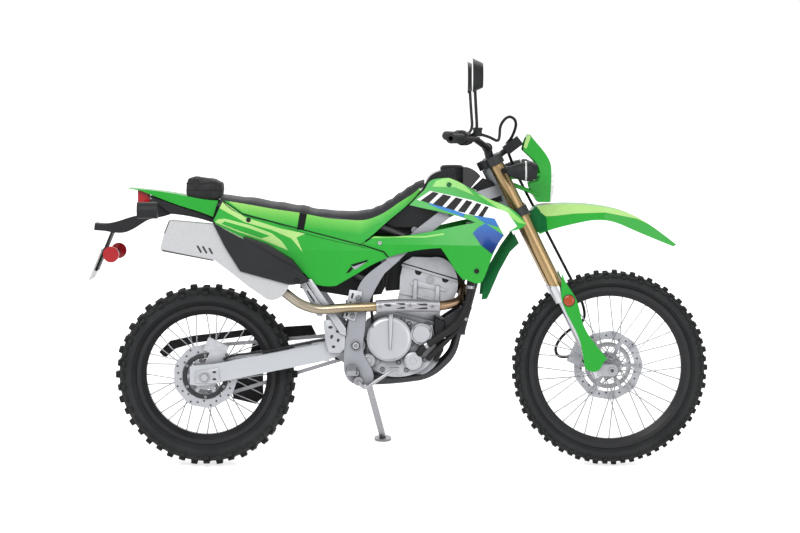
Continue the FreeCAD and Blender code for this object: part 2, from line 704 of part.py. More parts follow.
FENDER_TIP_X = 945.0
FENDER_Z = 758.0
FENDER_LENGTH = 500.0
FENDER_HALF = 84.0
FENDER_TONGUE = 6.0
FENDER_TOP_SHARES = (
    ((-0.96, 0.264), (-0.858, 0.278), (-0.79, 0.28), (-0.652, 0.278), (-0.516, 0.264), (-0.344, 0.222),
     (-0.14, 0.106), (0.0, 0.0)),
    ((-0.022, -0.012),),
    ((-0.19, 0.056), (-0.326, 0.114), (-0.428, 0.156), (-0.516, 0.172), (-0.598, 0.168), (-0.698, 0.148),
     (-0.8, 0.124), (-0.936, 0.074)),
    ((-0.998, 0.162),),
)
GUARD_LENGTH = 340.0
GUARD_X = 686.0
GUARD_Z = 330.0
GUARD_SHARES = (
    ((-0.40, 0.991),),
    ((-0.321, 0.832), (-0.271, 0.753), (-0.229, 0.635), (-0.2, 0.515), (-0.159, 0.415), (-0.079, 0.297),
     (0.0, 0.197), (0.05, 0.138)),
    ((0.009, 0.097),),
    ((-0.071, 0.009), (-0.1, 0.009)),
    ((-0.159, 0.038), (-0.179, 0.106)),
    ((-0.2, 0.218), (-0.229, 0.335), (-0.288, 0.465), (-0.359, 0.603), (-0.409, 0.744)),
    ((-0.409, 0.903),),
)
GUARD_OUT = 28.0


def front_fender():
    block = slab(outline((FENDER_TIP_X, FENDER_Z), FENDER_LENGTH, FENDER_TOP_SHARES), -FENDER_HALF, FENDER_HALF)
    rear = FENDER_TIP_X - FENDER_LENGTH - OVERRUN
    plan = [(rear, FENDER_HALF * 0.76), (FENDER_TIP_X - FENDER_LENGTH * 0.93, FENDER_HALF * 0.76),
            (FENDER_TIP_X - FENDER_LENGTH * 0.80, FENDER_HALF), (FENDER_TIP_X - FENDER_LENGTH * 0.5, FENDER_HALF),
            (FENDER_TIP_X, FENDER_HALF * 0.35)]
    mask = plan_mask(plan, 0, HEAD_Z + HEAD_Z)
    outer = block.common(mask)
    inner = block.common(mask)
    shrink = FreeCAD.Matrix()
    shrink.scale(1.0, (FENDER_HALF - PANEL_WALL) / FENDER_HALF, 1.0)
    inner = inner.transformGeometry(shrink)
    inner.translate(V(0, 0, -PANEL_WALL))
    drop = inner.copy()
    for step in range(1, 4):
        drop = drop.fuse(inner.translated(V(0, 0, -step * FENDER_HALF / 3)))
    reach = UPPER_TUBE_RADIUS + UPPER_TUBE_RADIUS
    tongue = Part.makeBox(FORK_OFFSET + reach, FENDER_HALF, FENDER_TONGUE,
                          V(FORK_OFFSET, -FENDER_HALF / 2, -CLAMP_WALL / 2 - FENDER_TONGUE))
    tongue.Placement = FreeCAD.Placement(steering_point(CLAMP_LOW_Z), FreeCAD.Rotation(V(0, 1, 0), -RAKE))
    return fused([outer.cut(drop).Solids[0], tongue])


def fork_guards():
    wire = outline((GUARD_X, GUARD_Z), GUARD_LENGTH, GUARD_SHARES)
    near = FORK_HALF - SEAL_RADIUS
    far = FORK_HALF + GUARD_OUT + PANEL_WALL + PANEL_WALL
    block = slab(wire, FORK_HALF, far)
    pocket = slab(wire, near, FORK_HALF + GUARD_OUT + FIT)
    return block.cut(pocket)


# Frame

HEAD_JOIN_Z = 945.0
BEAM_SHARES = ((0.0, 0.19, 0.0), (0.2, 0.33, 0.10), (0.47, 0.95, 0.31), (0.69, 1.0, 0.59), (0.97, 1.0, 1.0))
BEAM_RUN = 395.0
BEAM_DROP = 240.0
BEAM_HALF_SPAN = 118.0
TANK_RESTS = ((232.0, 931.0, 66.0), (52.0, 811.0, 112.0))
SHOCK_EAR = ((-48.0, 690.0), (-10.0, 742.0), (-62.0, 774.0), (-92.0, 756.0), (-84.0, 730.0))
PLATE_X = -186.0
PLATE_Z = 286.0
PLATE_HEIGHT = 430.0
PLATE_SHARES = (
    ((0.219, 0.905), (0.14, 0.826), (0.1, 0.747), (0.063, 0.628), (0.037, 0.512), (0.014, 0.393), (0.0, 0.274),
     (0.0, 0.12)),
    ((0.037, 0.04), (0.11, 0.007)),
    ((0.22, 0.007),),
    ((0.22, 0.12), (0.15, 0.26), (0.16, 0.42), (0.18, 0.60), (0.226, 0.723), (0.321, 0.888)),
    ((0.44, 0.99),),
    ((0.344, 0.998),),
)
CRADLE_SHARES = ((0.14, 0.0), (0.42, 0.005), (0.75, 0.04), (0.95, 0.22), (1.0, 0.42))


def beam_section(centre, tangent):
    across = V(0, 1, 0)
    up = tangent.cross(across).normalize()
    corners = []
    for a, b in ((-1, -1), (1, -1), (1, 1), (-1, 1)):
        corners.append(centre + across * (a * BEAM_WALL / 2) + up * (b * BEAM_HALF_HEIGHT))
    return Part.makePolygon(corners + corners[:1])


def frame_beams():
    start = steering_point(HEAD_JOIN_Z)
    points = [V(start.x - x * BEAM_RUN, y * BEAM_HALF_SPAN, HEAD_JOIN_Z - z * BEAM_DROP) for x, y, z in BEAM_SHARES]
    sections = []
    for index, point in enumerate(points):
        before = points[max(index - 1, 0)]
        after = points[min(index + 1, len(points) - 1)]
        tangent = V(after.x - before.x, 0, after.z - before.z).normalize()
        sections.append(beam_section(point, tangent))
    beam = Part.makeLoft(sections, True, True)
    gap = CLAMP_WALL / 2 + HEAD_GAP
    low = steering_point(CLAMP_LOW_Z) + steering_axis() * gap
    high = steering_point(CLAMP_HIGH_Z) - steering_axis() * gap
    tube_part = rod(low, high, HEAD_TUBE_RADIUS)
    pieces = [tube_part, beam, mirrored(beam)]
    for x, z, reach in TANK_RESTS:
        pieces.append(disc_between(x, z, -reach, reach, RAIL_RADIUS))
    inner = BEAM_HALF_SPAN - BEAM_WALL / 2
    ear = polygon(SHOCK_EAR, inner, inner + BEAM_WALL / 2)
    pieces += [ear, mirrored(ear)]
    pieces.append(disc_between(SHOCK_TOP_X, SHOCK_TOP_Z, -inner, inner, LINK_WALL))
    whole = fused(pieces)
    return whole.cut(rod(low - steering_axis() * gap, high + steering_axis() * gap, STEM_RADIUS + BEARING_GAP))


def pivot_plates():
    wire = outline((PLATE_X, PLATE_Z), PLATE_HEIGHT, PLATE_SHARES)
    plate = slab(wire, PLATE_INNER, PLATE_INNER + PLATE_WALL)
    return plate


def cradle():
    run = DRIVE_X - PLATE_X + 270.0
    return run


def frame(nodes):
    beams = frame_beams()
    nodes["frame_beams"] = beams
    plate = pivot_plates().cut(beams)
    plates = [plate.Solids[0], mirrored(plate.Solids[0])]
    pivot = disc_between(PIVOT_X, PIVOT_Z, -PLATE_INNER, PLATE_INNER, AXLE_RADIUS)
    lower = disc_between(PLATE_X + PLATE_HEIGHT * 0.1, PLATE_Z + PLATE_HEIGHT * 0.1, -PLATE_INNER, PLATE_INNER, AXLE_RADIUS)
    nodes["pivot_plates"] = fused(plates + [pivot, lower])
    span = PLATE_HEIGHT * 0.9
    cradle_points = []
    for x, z in CRADLE_SHARES:
        cradle_points.append(V(PLATE_X + x * span, PLATE_INNER - CRADLE_RADIUS - FIT - x * x * 70.0, PLATE_Z + 12.0 + z * span))
    side_tube = tube(cradle_points, CRADLE_RADIUS, 0.45)
    joint = V(cradle_points[-1].x + 6.0, 0, cradle_points[-1].z)
    top = steering_point(HEAD_JOIN_Z - 20.0)
    down = rod(joint, V(top.x - 26.0, 0, top.z), DOWN_TUBE_RADIUS)
    yoke = Part.makeBox(40.0, 84.0, 50.0, V(joint.x - 22.0, -42.0, joint.z - 10.0))
    cross = disc_between(PLATE_X + 0.20 * span, PLATE_Z + 12.0, -PLATE_INNER + CRADLE_RADIUS, PLATE_INNER - CRADLE_RADIUS, CRADLE_RADIUS * 0.8)
    head_core = rod(steering_point(CLAMP_LOW_Z), steering_point(CLAMP_HIGH_Z), HEAD_TUBE_RADIUS - PANEL_WALL)
    nodes["frame_cradle"] = fused([side_tube, mirrored(side_tube), down, yoke, cross]).cut(beams).cut(head_core)


# Bodywork

SEAT_REAR_X = -603.0
SEAT_Z = 860.0
SEAT_LENGTH = 690.0
SEAT_HALF = 104.0
SEAT_SHARES = (
    ((0.0, 0.097),),
    ((0.133, 0.083), (0.283, 0.058), (0.481, 0.023), (0.58, 0.016), (0.655, 0.0145), (0.729, 0.023),
     (0.829, 0.072), (0.928, 0.138), (0.997, 0.170)),
    ((0.975, 0.142),),
    ((0.928, 0.101), (0.878, 0.072), (0.829, 0.038), (0.77, 0.004), (0.706, -0.016), (0.632, -0.016),
     (0.535, -0.009), (0.387, 0.019), (0.288, 0.033), (0.142, 0.058), (0.009, 0.078)),
)
TANK_X = 77.0
TANK_Z = 880.0
TANK_LENGTH = 200.0
TANK_HALF = 92.0
TANK_SHARES = (
    ((0.17, 0.59), (0.305, 0.65), (0.51, 0.695), (0.815, 0.695), (0.915, 0.64), (1.0, 0.555)),
    ((0.83, 0.355),),
    ((0.615, 0.225),),
    ((0.38, 0.10),),
    ((0.215, -0.15), (-0.085, -0.30)),
    ((-0.485, -0.30),),
    ((-0.735, -0.225),),
    ((-0.535, -0.075), (-0.335, 0.065), (-0.16, 0.18), (0.015, 0.345), (0.085, 0.49)),
)
CAP_X = 180.0
CAP_RADIUS = 42.0
CAP_HEIGHT = 14.0

SHROUD_X = -138.0
SHROUD_Z = 764.0
SHROUD_LENGTH = 500.0
SHROUD_SHARES = (
    ((0.108, 0.056),),
    ((0.282, 0.056), (0.482, 0.088), (0.788, 0.152)),
    ((0.748, 0.168), (0.548, 0.222), (0.344, 0.266)),
    ((0.426, 0.348),),
    ((0.456, 0.384), (0.482, 0.424), (0.528, 0.442), (0.608, 0.448)),
    ((0.648, 0.434), (0.748, 0.382), (0.816, 0.342), (0.95, 0.282)),
    ((1.03, 0.242), (1.122, 0.148)),
    ((1.082, 0.114), (1.002, 0.088), (0.95, 0.034), (0.902, -0.06), (0.83, -0.246)),
    ((0.816, -0.254), (0.748, -0.24), (0.702, -0.23)),
    ((0.648, -0.16), (0.588, -0.066), (0.556, -0.02)),
    ((0.348, -0.046), (0.202, -0.086)),
    ((0.016, -0.012),),
)
SHROUD_LEVEL_SHARES = (
    (0.49, ((-0.1, 0.186), (0.4, 0.190), (0.7, 0.214), (1.2, 0.40))),
    (0.24, ((-0.1, 0.24), (0.4, 0.266), (0.7, 0.33), (1.2, 0.45))),
    (0.0, ((-0.1, 0.28), (0.4, 0.31), (0.7, 0.39), (1.2, 0.45))),
    (-0.3, ((-0.1, 0.28), (0.4, 0.30), (0.7, 0.36), (1.2, 0.41))),
)
COVER_X = -628.0
COVER_Z = 743.0
COVER_LENGTH = 600.0
COVER_SHARES = (
    ((0.94, -0.057), (0.883, -0.085), (0.817, -0.125), (0.743, -0.168), (0.693, -0.197)),
    ((0.632, -0.2), (0.565, -0.185)),
    ((0.537, -0.152), (0.492, -0.107), (0.437, -0.068), (0.297, 0.005), (0.157, 0.077), (0.028, 0.133)),
    ((0.0, 0.167),),
    ((0.052, 0.272),),
    ((0.152, 0.203), (0.322, 0.158), (0.49, 0.102), (0.658, 0.057), (0.815, 0.023)),
    ((0.95, -0.007),),
    ((0.983, -0.04),),
)
STRIP_SHARES = (
    ((0.152, 0.208), (0.322, 0.163), (0.49, 0.107), (0.658, 0.062), (0.815, 0.028)),
    ((0.893, 0.085), (0.995, 0.175), (1.09, 0.253), (1.163, 0.332)),
    ((1.163, 0.353),),
    ((1.108, 0.307), (1.052, 0.273), (0.995, 0.233), (0.927, 0.195), (0.853, 0.172), (0.768, 0.172),
     (0.657, 0.180), (0.487, 0.212), (0.373, 0.228), (0.205, 0.257), (0.052, 0.280)),
)
BACKING_SHARES = (
    ((0.152, 0.170), (0.322, 0.125), (0.49, 0.069), (0.658, 0.024), (0.815, -0.010)),
    ((0.90, 0.040),),
    ((0.815, 0.060), (0.658, 0.094), (0.49, 0.139), (0.322, 0.195), (0.152, 0.240)),
    ((0.12, 0.215),),
)
COVER_LEVEL_SHARES = (
    (0.50, ((-0.05, 0.130), (0.5, 0.165), (0.9, 0.165), (1.25, 0.135))),
    (0.30, ((-0.05, 0.150), (0.5, 0.185), (0.9, 0.178), (1.25, 0.150))),
    (0.0, ((-0.05, 0.185), (0.5, 0.210), (0.9, 0.222), (1.25, 0.235))),
    (-0.22, ((-0.05, 0.190), (0.5, 0.215), (0.9, 0.225), (1.25, 0.24))),
)


def levels_from(anchor, size, table):
    levels = []
    for height_share, line in table:
        levels.append((anchor[1] + height_share * size, [(anchor[0] + x * size, y * size) for x, y in line]))
    return levels


def panel(anchor, size, outline_shares, level_shares):
    skin = spread(levels_from(anchor, size, level_shares), PANEL_WALL, 0, 0)
    block = slab(outline(anchor, size, outline_shares), 0, WHEELBASE)
    piece = skin.common(block)
    return piece.Solids[0]


def plan_mask(points, low, high):
    corners = [V(x, y, low) for x, y in points] + [V(x, -y, low) for x, y in reversed(points)]
    return Part.Face(Part.makePolygon(corners + corners[:1])).extrude(V(0, 0, high - low))


def seat():
    block = slab(outline((SEAT_REAR_X, SEAT_Z), SEAT_LENGTH, SEAT_SHARES), -SEAT_HALF, SEAT_HALF)
    plan = [(SEAT_REAR_X - OVERRUN, SEAT_HALF * 0.78), (SEAT_REAR_X + SEAT_LENGTH * 0.35, SEAT_HALF),
            (SEAT_REAR_X + SEAT_LENGTH * 0.6, SEAT_HALF * 0.95), (SEAT_REAR_X + SEAT_LENGTH * 0.8, SEAT_HALF * 0.8),
            (SEAT_REAR_X + SEAT_LENGTH + OVERRUN, SEAT_HALF * 0.6)]
    return block.common(plan_mask(plan, 0, WHEELBASE))


def tank(nodes):
    block = slab(outline((TANK_X, TANK_Z), TANK_LENGTH, TANK_SHARES), -TANK_HALF, TANK_HALF)
    plan = [(TANK_X - TANK_LENGTH, TANK_HALF * 0.7), (TANK_X, TANK_HALF), (TANK_X + TANK_LENGTH * 0.53, TANK_HALF),
            (TANK_X + TANK_LENGTH * 0.70, TANK_HALF * 0.50), (TANK_X + TANK_LENGTH + FIT, TANK_HALF * 0.36)]
    body = block.common(plan_mask(plan, 0, WHEELBASE))
    neck = Part.makeCylinder(CAP_RADIUS, CAP_HEIGHT * 4, V(CAP_X, 0, TANK_Z + TANK_LENGTH * 0.695 - CAP_HEIGHT * 3.2))
    nodes["fuel_tank"] = body.cut(neck).cut(nodes["frame_beams"])
    nodes["fuel_cap"] = neck


def bodywork(nodes):
    tank(nodes)
    nodes["seat"] = seat()
    shroud = panel((SHROUD_X, SHROUD_Z), SHROUD_LENGTH, SHROUD_SHARES, SHROUD_LEVEL_SHARES)
    cover = panel((COVER_X, COVER_Z), COVER_LENGTH, COVER_SHARES, COVER_LEVEL_SHARES)
    strip = panel((COVER_X, COVER_Z), COVER_LENGTH, STRIP_SHARES, COVER_LEVEL_SHARES)
    backing = panel((COVER_X, COVER_Z), COVER_LENGTH, BACKING_SHARES, COVER_LEVEL_SHARES)
    backing.translate(V(0, -PANEL_WALL, 0))
    side = fused([cover, strip, backing])
    cover_block = slab(outline((COVER_X, COVER_Z), COVER_LENGTH, COVER_SHARES), 0, WHEELBASE)
    strip_block = slab(outline((COVER_X, COVER_Z), COVER_LENGTH, STRIP_SHARES), 0, WHEELBASE)
    for block in (cover_block, strip_block):
        for step in (0, PANEL_GAP):
            shroud = shroud.cut(block.translated(V(step, 0, -step)))
    shroud = max(shroud.Solids, key=lambda solid: solid.Volume)
    nodes["tank_shrouds"] = both(shroud)
    nodes["side_covers"] = both(side)
    nodes["front_fender"] = front_fender()
    nodes["fork_guards"] = both(fork_guards())


# Engine

CASE_X = -122.0
CASE_Z = 312.0
CASE_LENGTH = 260.0
CASE_SHARES = (
    ((0.24, 0.0),),
    ((0.62, 0.0),),
    ((0.90, 0.10), (0.98, 0.20)),
    ((1.0, 0.40),),
    ((1.015, 0.696),),
    ((0.285, 0.865),),
    ((0.04, 0.70),),
    ((0.0, 0.60),),
    ((0.0, 0.16),),
)
BARREL_SHARES = (
    ((0.977, 0.7048),),
    ((1.035, 0.953),),
    ((0.473, 1.0829),),
    ((0.415, 0.8347),),
)
HEAD_SHARES = (
    ((1.146, 0.9273),),
    ((1.223, 1.108),),
    ((1.215, 1.34), (1.123, 1.49), (0.892, 1.554)),
    ((0.642, 1.562),),
    ((0.523, 1.49),),
    ((0.481, 1.30),),
    ((0.473, 1.0829),),
)
SIDE_COVER_SHARES = (
    ((0.30, 0.02),),
    ((0.66, 0.04), (0.90, 0.22), (0.95, 0.42)),
    ((0.90, 0.68),),
    ((0.62, 0.74), (0.34, 0.80), (0.10, 0.66)),
    ((0.04, 0.40), (0.12, 0.10)),
)
HANGER_SHARES = (
    ((0.85, 0.36),),
    ((1.12, 0.56),),
    ((1.36, 0.76),),
    ((1.42, 0.90),),
    ((1.34, 0.94),),
    ((1.10, 0.80),),
    ((0.93, 0.68),),
    ((0.78, 0.50),),
)
COVER_STEP = 22.0
BOLT_RADIUS = 6.0
DOWN_TUBE_LEAN = 0.37


def chain_pocket():
    reach = FRONT_SPROCKET_RADIUS + CHAIN_HEIGHT + CHAIN_HEIGHT / 2
    low = CHAIN_PLANE - CHAIN_WIDTH
    hole = disc_between(DRIVE_X, DRIVE_Z, low, CASE_HALF + OVERRUN, reach)
    drop = reach + reach
    slot = Part.makeBox(CASE_LENGTH, CASE_HALF + OVERRUN - low, drop + reach, V(DRIVE_X - CASE_LENGTH, low, DRIVE_Z - drop))
    return hole.fuse(slot)


def engine(nodes, cradle_solid):
    anchor = (CASE_X, CASE_Z)
    case = slab(outline(anchor, CASE_LENGTH, CASE_SHARES), -CASE_HALF, CASE_HALF).cut(chain_pocket())
    shaft = disc_between(DRIVE_X, DRIVE_Z, CHAIN_PLANE - CHAIN_WIDTH, CHAIN_PLANE + CHAIN_WIDTH / 2, AXLE_RADIUS)
    tip = FRONT_SPROCKET_RADIUS - CHAIN_HEIGHT / 2 + SPROCKET_CLEAR
    sprocket = disc_between(DRIVE_X, DRIVE_Z, CHAIN_PLANE - SPROCKET_WALL / 2, CHAIN_PLANE + SPROCKET_WALL / 2, tip)
    nodes["final_drive"] = fused([nodes.pop("chain"), shaft, sprocket])
    nodes["crankcase"] = case
    nodes["cylinder"] = slab(outline(anchor, CASE_LENGTH, BARREL_SHARES), -CYLINDER_HALF, CYLINDER_HALF)
    nodes["cylinder_head"] = slab(outline(anchor, CASE_LENGTH, HEAD_SHARES), -HEAD_HALF, HEAD_HALF)
    right = slab(outline(anchor, CASE_LENGTH, SIDE_COVER_SHARES), -CASE_HALF - COVER_STEP, -CASE_HALF)
    clutch = disc_between(CLUTCH_X, CLUTCH_Z, -CASE_HALF - COVER_OUT, -CASE_HALF, CLUTCH_RADIUS)
    filter_cover = disc_between(FILTER_X, FILTER_Z, -CASE_HALF - COVER_OUT + FIN_GAP, -CASE_HALF, FILTER_RADIUS)
    plug = disc_between(PLUG_X + PLUG_RADIUS, PLUG_Z, -CASE_HALF - COVER_STEP - FIN_GAP, -CASE_HALF, PLUG_RADIUS)
    right = fused([right, clutch, filter_cover, plug])
    left = disc_between(CRANK_X, CRANK_Z, CASE_HALF, CASE_HALF + COVER_OUT - FIN_GAP, STATOR_RADIUS)
    covers = [right.cut(cradle_solid), left.cut(cradle_solid)]
    nodes["crankcase"] = fused([case.cut(cradle_solid).Solids[0]] + [cover.Solids[0] for cover in covers])
    plate = slab(outline(anchor, CASE_LENGTH, HANGER_SHARES), CASE_HALF, CASE_HALF + BOLT_RADIUS)
    bolt_z = CASE_Z + CASE_LENGTH * 0.87
    bolt_x = CASE_X + CASE_LENGTH * 1.36
    bolt = disc_between(bolt_x, bolt_z, 0, CASE_HALF, BOLT_RADIUS)
    nodes["cylinder"] = nodes["cylinder"].cut(nodes["crankcase"])
    nodes["cylinder_head"] = nodes["cylinder_head"].cut(nodes["cylinder"])
    hanger = fused([plate, bolt]).cut(cradle_solid)
    hanger = max(hanger.Solids, key=lambda solid: solid.Volume)
    hangers = [hanger.cut(nodes["crankcase"]), mirrored(hanger).cut(nodes["crankcase"])]
    nodes["engine_hangers"] = Part.makeCompound([max(h.Solids, key=lambda solid: solid.Volume) for h in hangers])


# Exhaust

HEADER_RADIUS = 16.0
SHIELD_RADIUS = 21.5
MUFFLER_X = -799.0
MUFFLER_Z = 749.0
MUFFLER_LENGTH = 440.0
MUFFLER_INNER = 128.0
MUFFLER_OUTER = 204.0
MUFFLER_EDGE = 16.0
MUFFLER_SHARES = (
    ((0.032, 0.130), (0.068, 0.225)),
    ((0.398, 0.195),),
    ((0.609, 0.095),),
    ((0.80, -0.015),),
    ((0.98, -0.175),),
    ((1.045, -0.25), (0.975, -0.27)),
    ((0.936, -0.339), (0.875, -0.377), (0.768, -0.345)),
    ((0.677, -0.284),),
    ((0.523, -0.161),),
    ((0.411, -0.077),),
    ((0.0, 0.0),),
)
HEAT_GUARD_SHARES = (
    ((0.495, 0.02),),
    ((0.609, -0.161),),
    ((0.966, -0.259),),
    ((1.07, -0.259),),
    ((1.139, -0.236),),
    ((1.064, -0.161),),
    ((0.798, -0.012),),
    ((0.609, 0.095),),
    ((0.495, 0.155),),
    ((0.398, 0.215),),
)


def header_points():
    return [V(176.0, -22.0, 640.0), V(216.0, -40.0, 618.0), V(214.0, -98.0, 572.0), V(150.0, -128.0, 556.0),
            V(0.0, -141.0, 560.0), V(-98.0, -150.0, 554.0), V(-183.0, -151.0, 551.0), V(-274.0, -153.0, 544.0),
            V(-334.0, -158.0, 564.0), V(-384.0, -165.0, 604.0)]


def exhaust(nodes):
    pipe = tube(header_points(), HEADER_RADIUS, 0.42)
    block = slab(outline((MUFFLER_X, MUFFLER_Z), MUFFLER_LENGTH, MUFFLER_SHARES), -MUFFLER_OUTER, -MUFFLER_INNER)
    nodes["muffler"] = block.cut(pipe)
    pipe = pipe.cut(nodes["cylinder_head"])
    nodes["exhaust_header"] = max(pipe.Solids, key=lambda solid: solid.Volume)
    nodes["muffler_guard"] = slab(outline((MUFFLER_X, MUFFLER_Z), MUFFLER_LENGTH, HEAT_GUARD_SHARES),
                                  -MUFFLER_OUTER - FIN_GAP, -MUFFLER_OUTER)
    points = header_points()[3:6]
    ends = [points[0] + (points[1] - points[0]) * 0.1, points[1], points[1] + (points[2] - points[1]) * 0.8]
    shield = tube(ends, SHIELD_RADIUS, 0.42).cut(tube(header_points(), HEADER_RADIUS, 0.42))
    keep = Part.makeBox(WHEELBASE, MUFFLER_OUTER, WHEELBASE, V(REAR_AXLE_X, points[1].y - MUFFLER_OUTER, 0))
    shield = shield.common(keep)
    nodes["header_shield"] = max(shield.Solids, key=lambda solid: solid.Volume)


# Swingarm, shock and rear axle

ARM_SHARES = (
    ((-1.074, -0.135),),
    ((-1.074, -0.252),),
    ((-0.97, -0.258), (-0.90, -0.240)),
    ((-0.182, -0.096),),
    ((-0.06, -0.055), (0.045, -0.045)),
    ((0.06, 0.0), (0.045, 0.045)),
    ((-0.06, 0.052), (-0.182, 0.021)),
    ((-0.90, -0.117),),
)
ARM_RUN = math.hypot(REAR_AXLE_X - PIVOT_X, REAR_RADIUS - PIVOT_Z)
SHOCK_TOP_X = -70.0
SHOCK_TOP_Z = 752.0
SHOCK_LOW_X = -205.0
SHOCK_LOW_Z = 385.0
SPRING_RADIUS = 36.0
SHOCK_BODY = 15.0
SHOCK_EYE = 16.0
LINK_WALL = 8.0


def swingarm():
    arm = slab(outline((PIVOT_X, PIVOT_Z), ARM_RUN, ARM_SHARES), ARM_INNER, ARM_INNER + ARM_WALL)
    cross = disc_between(PIVOT_X, PIVOT_Z, -ARM_INNER - FIT, ARM_INNER + FIT, PIVOT_RADIUS + 2)
    bridge = Part.makeBox(ARM_END, ARM_INNER + ARM_INNER, ARM_END - FIN_GAP,
                          V(PIVOT_X - ARM_RUN * 0.29, -ARM_INNER, PIVOT_Z - ARM_RUN * 0.105))
    whole = fused([arm, mirrored(arm), cross, bridge])
    whole = whole.cut(disc_between(PIVOT_X, PIVOT_Z, -PLATE_INNER, PLATE_INNER, AXLE_RADIUS + FIT))
    whole = whole.cut(disc_between(REAR_AXLE_X, REAR_RADIUS, -PLATE_INNER, PLATE_INNER, AXLE_RADIUS))
    return whole


def rear_axle():
    end = ARM_INNER + ARM_WALL + AXLE_RADIUS
    axle = disc_between(REAR_AXLE_X, REAR_RADIUS, -end, end, AXLE_RADIUS)
    right = disc_between(REAR_AXLE_X, REAR_RADIUS, -ARM_INNER, -HUB_HALF - DISC_WALL - BEARING_GAP, AXLE_RADIUS + LINK_WALL / 2)
    left = disc_between(REAR_AXLE_X, REAR_RADIUS, HUB_HALF + SPROCKET_WALL + BEARING_GAP, ARM_INNER, AXLE_RADIUS + LINK_WALL / 2)
    bore = disc_between(REAR_AXLE_X, REAR_RADIUS, -end - OVERRUN, end + OVERRUN, AXLE_BORE)
    return fused([axle, left, right]).cut(bore)


def rear_suspension(nodes):
    nodes["swingarm"] = swingarm()
    nodes["rear_axle"] = rear_axle()
    top = V(SHOCK_TOP_X, 0, SHOCK_TOP_Z)
    low = V(SHOCK_LOW_X, 0, SHOCK_LOW_Z)
    way = top - low
    body = rod(low, top, SHOCK_BODY)
    spring = rod(low + way * 0.38, low + way * 0.86, SPRING_RADIUS)
    eye = disc_between(SHOCK_LOW_X, SHOCK_LOW_Z, -SHOCK_EYE, SHOCK_EYE, SHOCK_EYE + LINK_WALL)
    head_eye = disc_between(SHOCK_TOP_X, SHOCK_TOP_Z, -SHOCK_EYE, SHOCK_EYE, SHOCK_EYE + LINK_WALL)
    pin = disc_between(SHOCK_LOW_X, SHOCK_LOW_Z, -SHOCK_EYE - LINK_WALL, SHOCK_EYE + LINK_WALL, LINK_WALL)
    nodes["rear_shock"] = fused([body, spring, eye, head_eye]).cut(pin).cut(nodes["frame_beams"])
    lower_x = PLATE_X + PLATE_HEIGHT * 0.1
    lower_z = PLATE_Z + PLATE_HEIGHT * 0.1
    corners = [(SHOCK_LOW_X - LINK_WALL * 2, SHOCK_LOW_Z - LINK_WALL), (SHOCK_LOW_X, SHOCK_LOW_Z + LINK_WALL * 2),
               (lower_x + LINK_WALL * 2, lower_z + LINK_WALL), (lower_x + LINK_WALL, lower_z - LINK_WALL * 2)]
    plate = polygon(corners, SHOCK_EYE, SHOCK_EYE + LINK_WALL)
    rod_hole = disc_between(lower_x, lower_z, -PLATE_INNER, PLATE_INNER, AXLE_RADIUS)
    nodes["shock_linkage"] = fused([plate, mirrored(plate), pin]).cut(rod_hole)


# Subframe and tail

RAIL_SHARES = ((0.0, 1.0, 0.0), (-0.145, 0.85, 0.058), (-0.355, 0.75, 0.077), (-0.71, 0.68, 0.123), (-1.07, 0.52, 0.176))
RAIL_RUN = 620.0
RAIL_X = 20.0
RAIL_Z = 790.0
BRACE_SHARES = ((-0.21, 1.0, -0.24), (-0.5, 0.88, -0.08), (-0.78, 0.66, 0.128))
CROSS_SHARES = ((-0.355, 0.75, 0.077), (-0.71, 0.68, 0.123), (-1.0, 0.60, 0.166))

TAIL_X = -925.0
TAIL_Z = 951.0
TAIL_LENGTH = 300.0
TAIL_HALF = 78.0
TAIL_SHARES = (
    ((0.24, -0.02), (0.583, -0.067), (0.81, -0.113), (1.04, -0.137)),
    ((0.98, -0.323),),
    ((0.847, -0.27), (0.62, -0.2), (0.397, -0.12), (0.17, -0.03)),
    ((0.0, 0.0),),
)
INNER_FENDER_SHARES = (
    ((0.45, -0.155),),
    ((0.62, -0.215), (0.847, -0.285), (0.98, -0.338)),
    ((1.5, -0.62),),
    ((1.47, -0.66),),
    ((0.92, -0.37), (0.50, -0.29)),
    ((0.24, -0.08),),
)
BAG_SHARES = (
    ((0.677, -0.100), (0.85, -0.130), (1.03, -0.150)),
    ((1.062, -0.06), (1.065, 0.07)),
    ((1.03, 0.10), (0.86, 0.135), (0.70, 0.145)),
    ((0.64, 0.06), (0.663, -0.068)),
)
HOLDER_SHARES = (
    ((-0.37, -0.397),),
    ((-0.087, -0.37), (0.027, -0.333), (0.14, -0.307), (0.233, -0.257)),
    ((0.26, -0.16),),
    ((0.46, -0.175),),
    ((0.48, -0.30),),
    ((0.37, -0.33), (0.233, -0.363), (0.107, -0.437), (-0.03, -0.503), (-0.163, -0.503), (-0.257, -0.487)),
    ((-0.38, -0.477),),
)
PLATE_TOP_X = -1008.0
PLATE_TOP_Z = 746.0
NUMBER_PLATE_HEIGHT = 116.0
NUMBER_PLATE_HALF = 100.0
NUMBER_PLATE_WALL = 2.0
PLATE_SLOPE = 23.0
LAMP_RADIUS = 34.0
REAR_SIGNAL_HALF = 170.0
REFLECTOR_RADIUS = 27.0
REFLECTOR_HALF = 128.0


def subframe(beams):
    rails = []
    for table in (RAIL_SHARES, BRACE_SHARES):
        points = [V(RAIL_X + x * RAIL_RUN, y * BEAM_HALF_SPAN, RAIL_Z + z * RAIL_RUN) for x, y, z in table]
        rails.append(tube(points, RAIL_RADIUS, 0.42))
    pieces = rails + [mirrored(rail) for rail in rails]
    for x, y, z in CROSS_SHARES:
        reach = y * BEAM_HALF_SPAN
        pieces.append(disc_between(RAIL_X + x * RAIL_RUN, RAIL_Z + z * RAIL_RUN, -reach, reach, RAIL_RADIUS * 0.8))
    return fused(pieces).cut(beams)


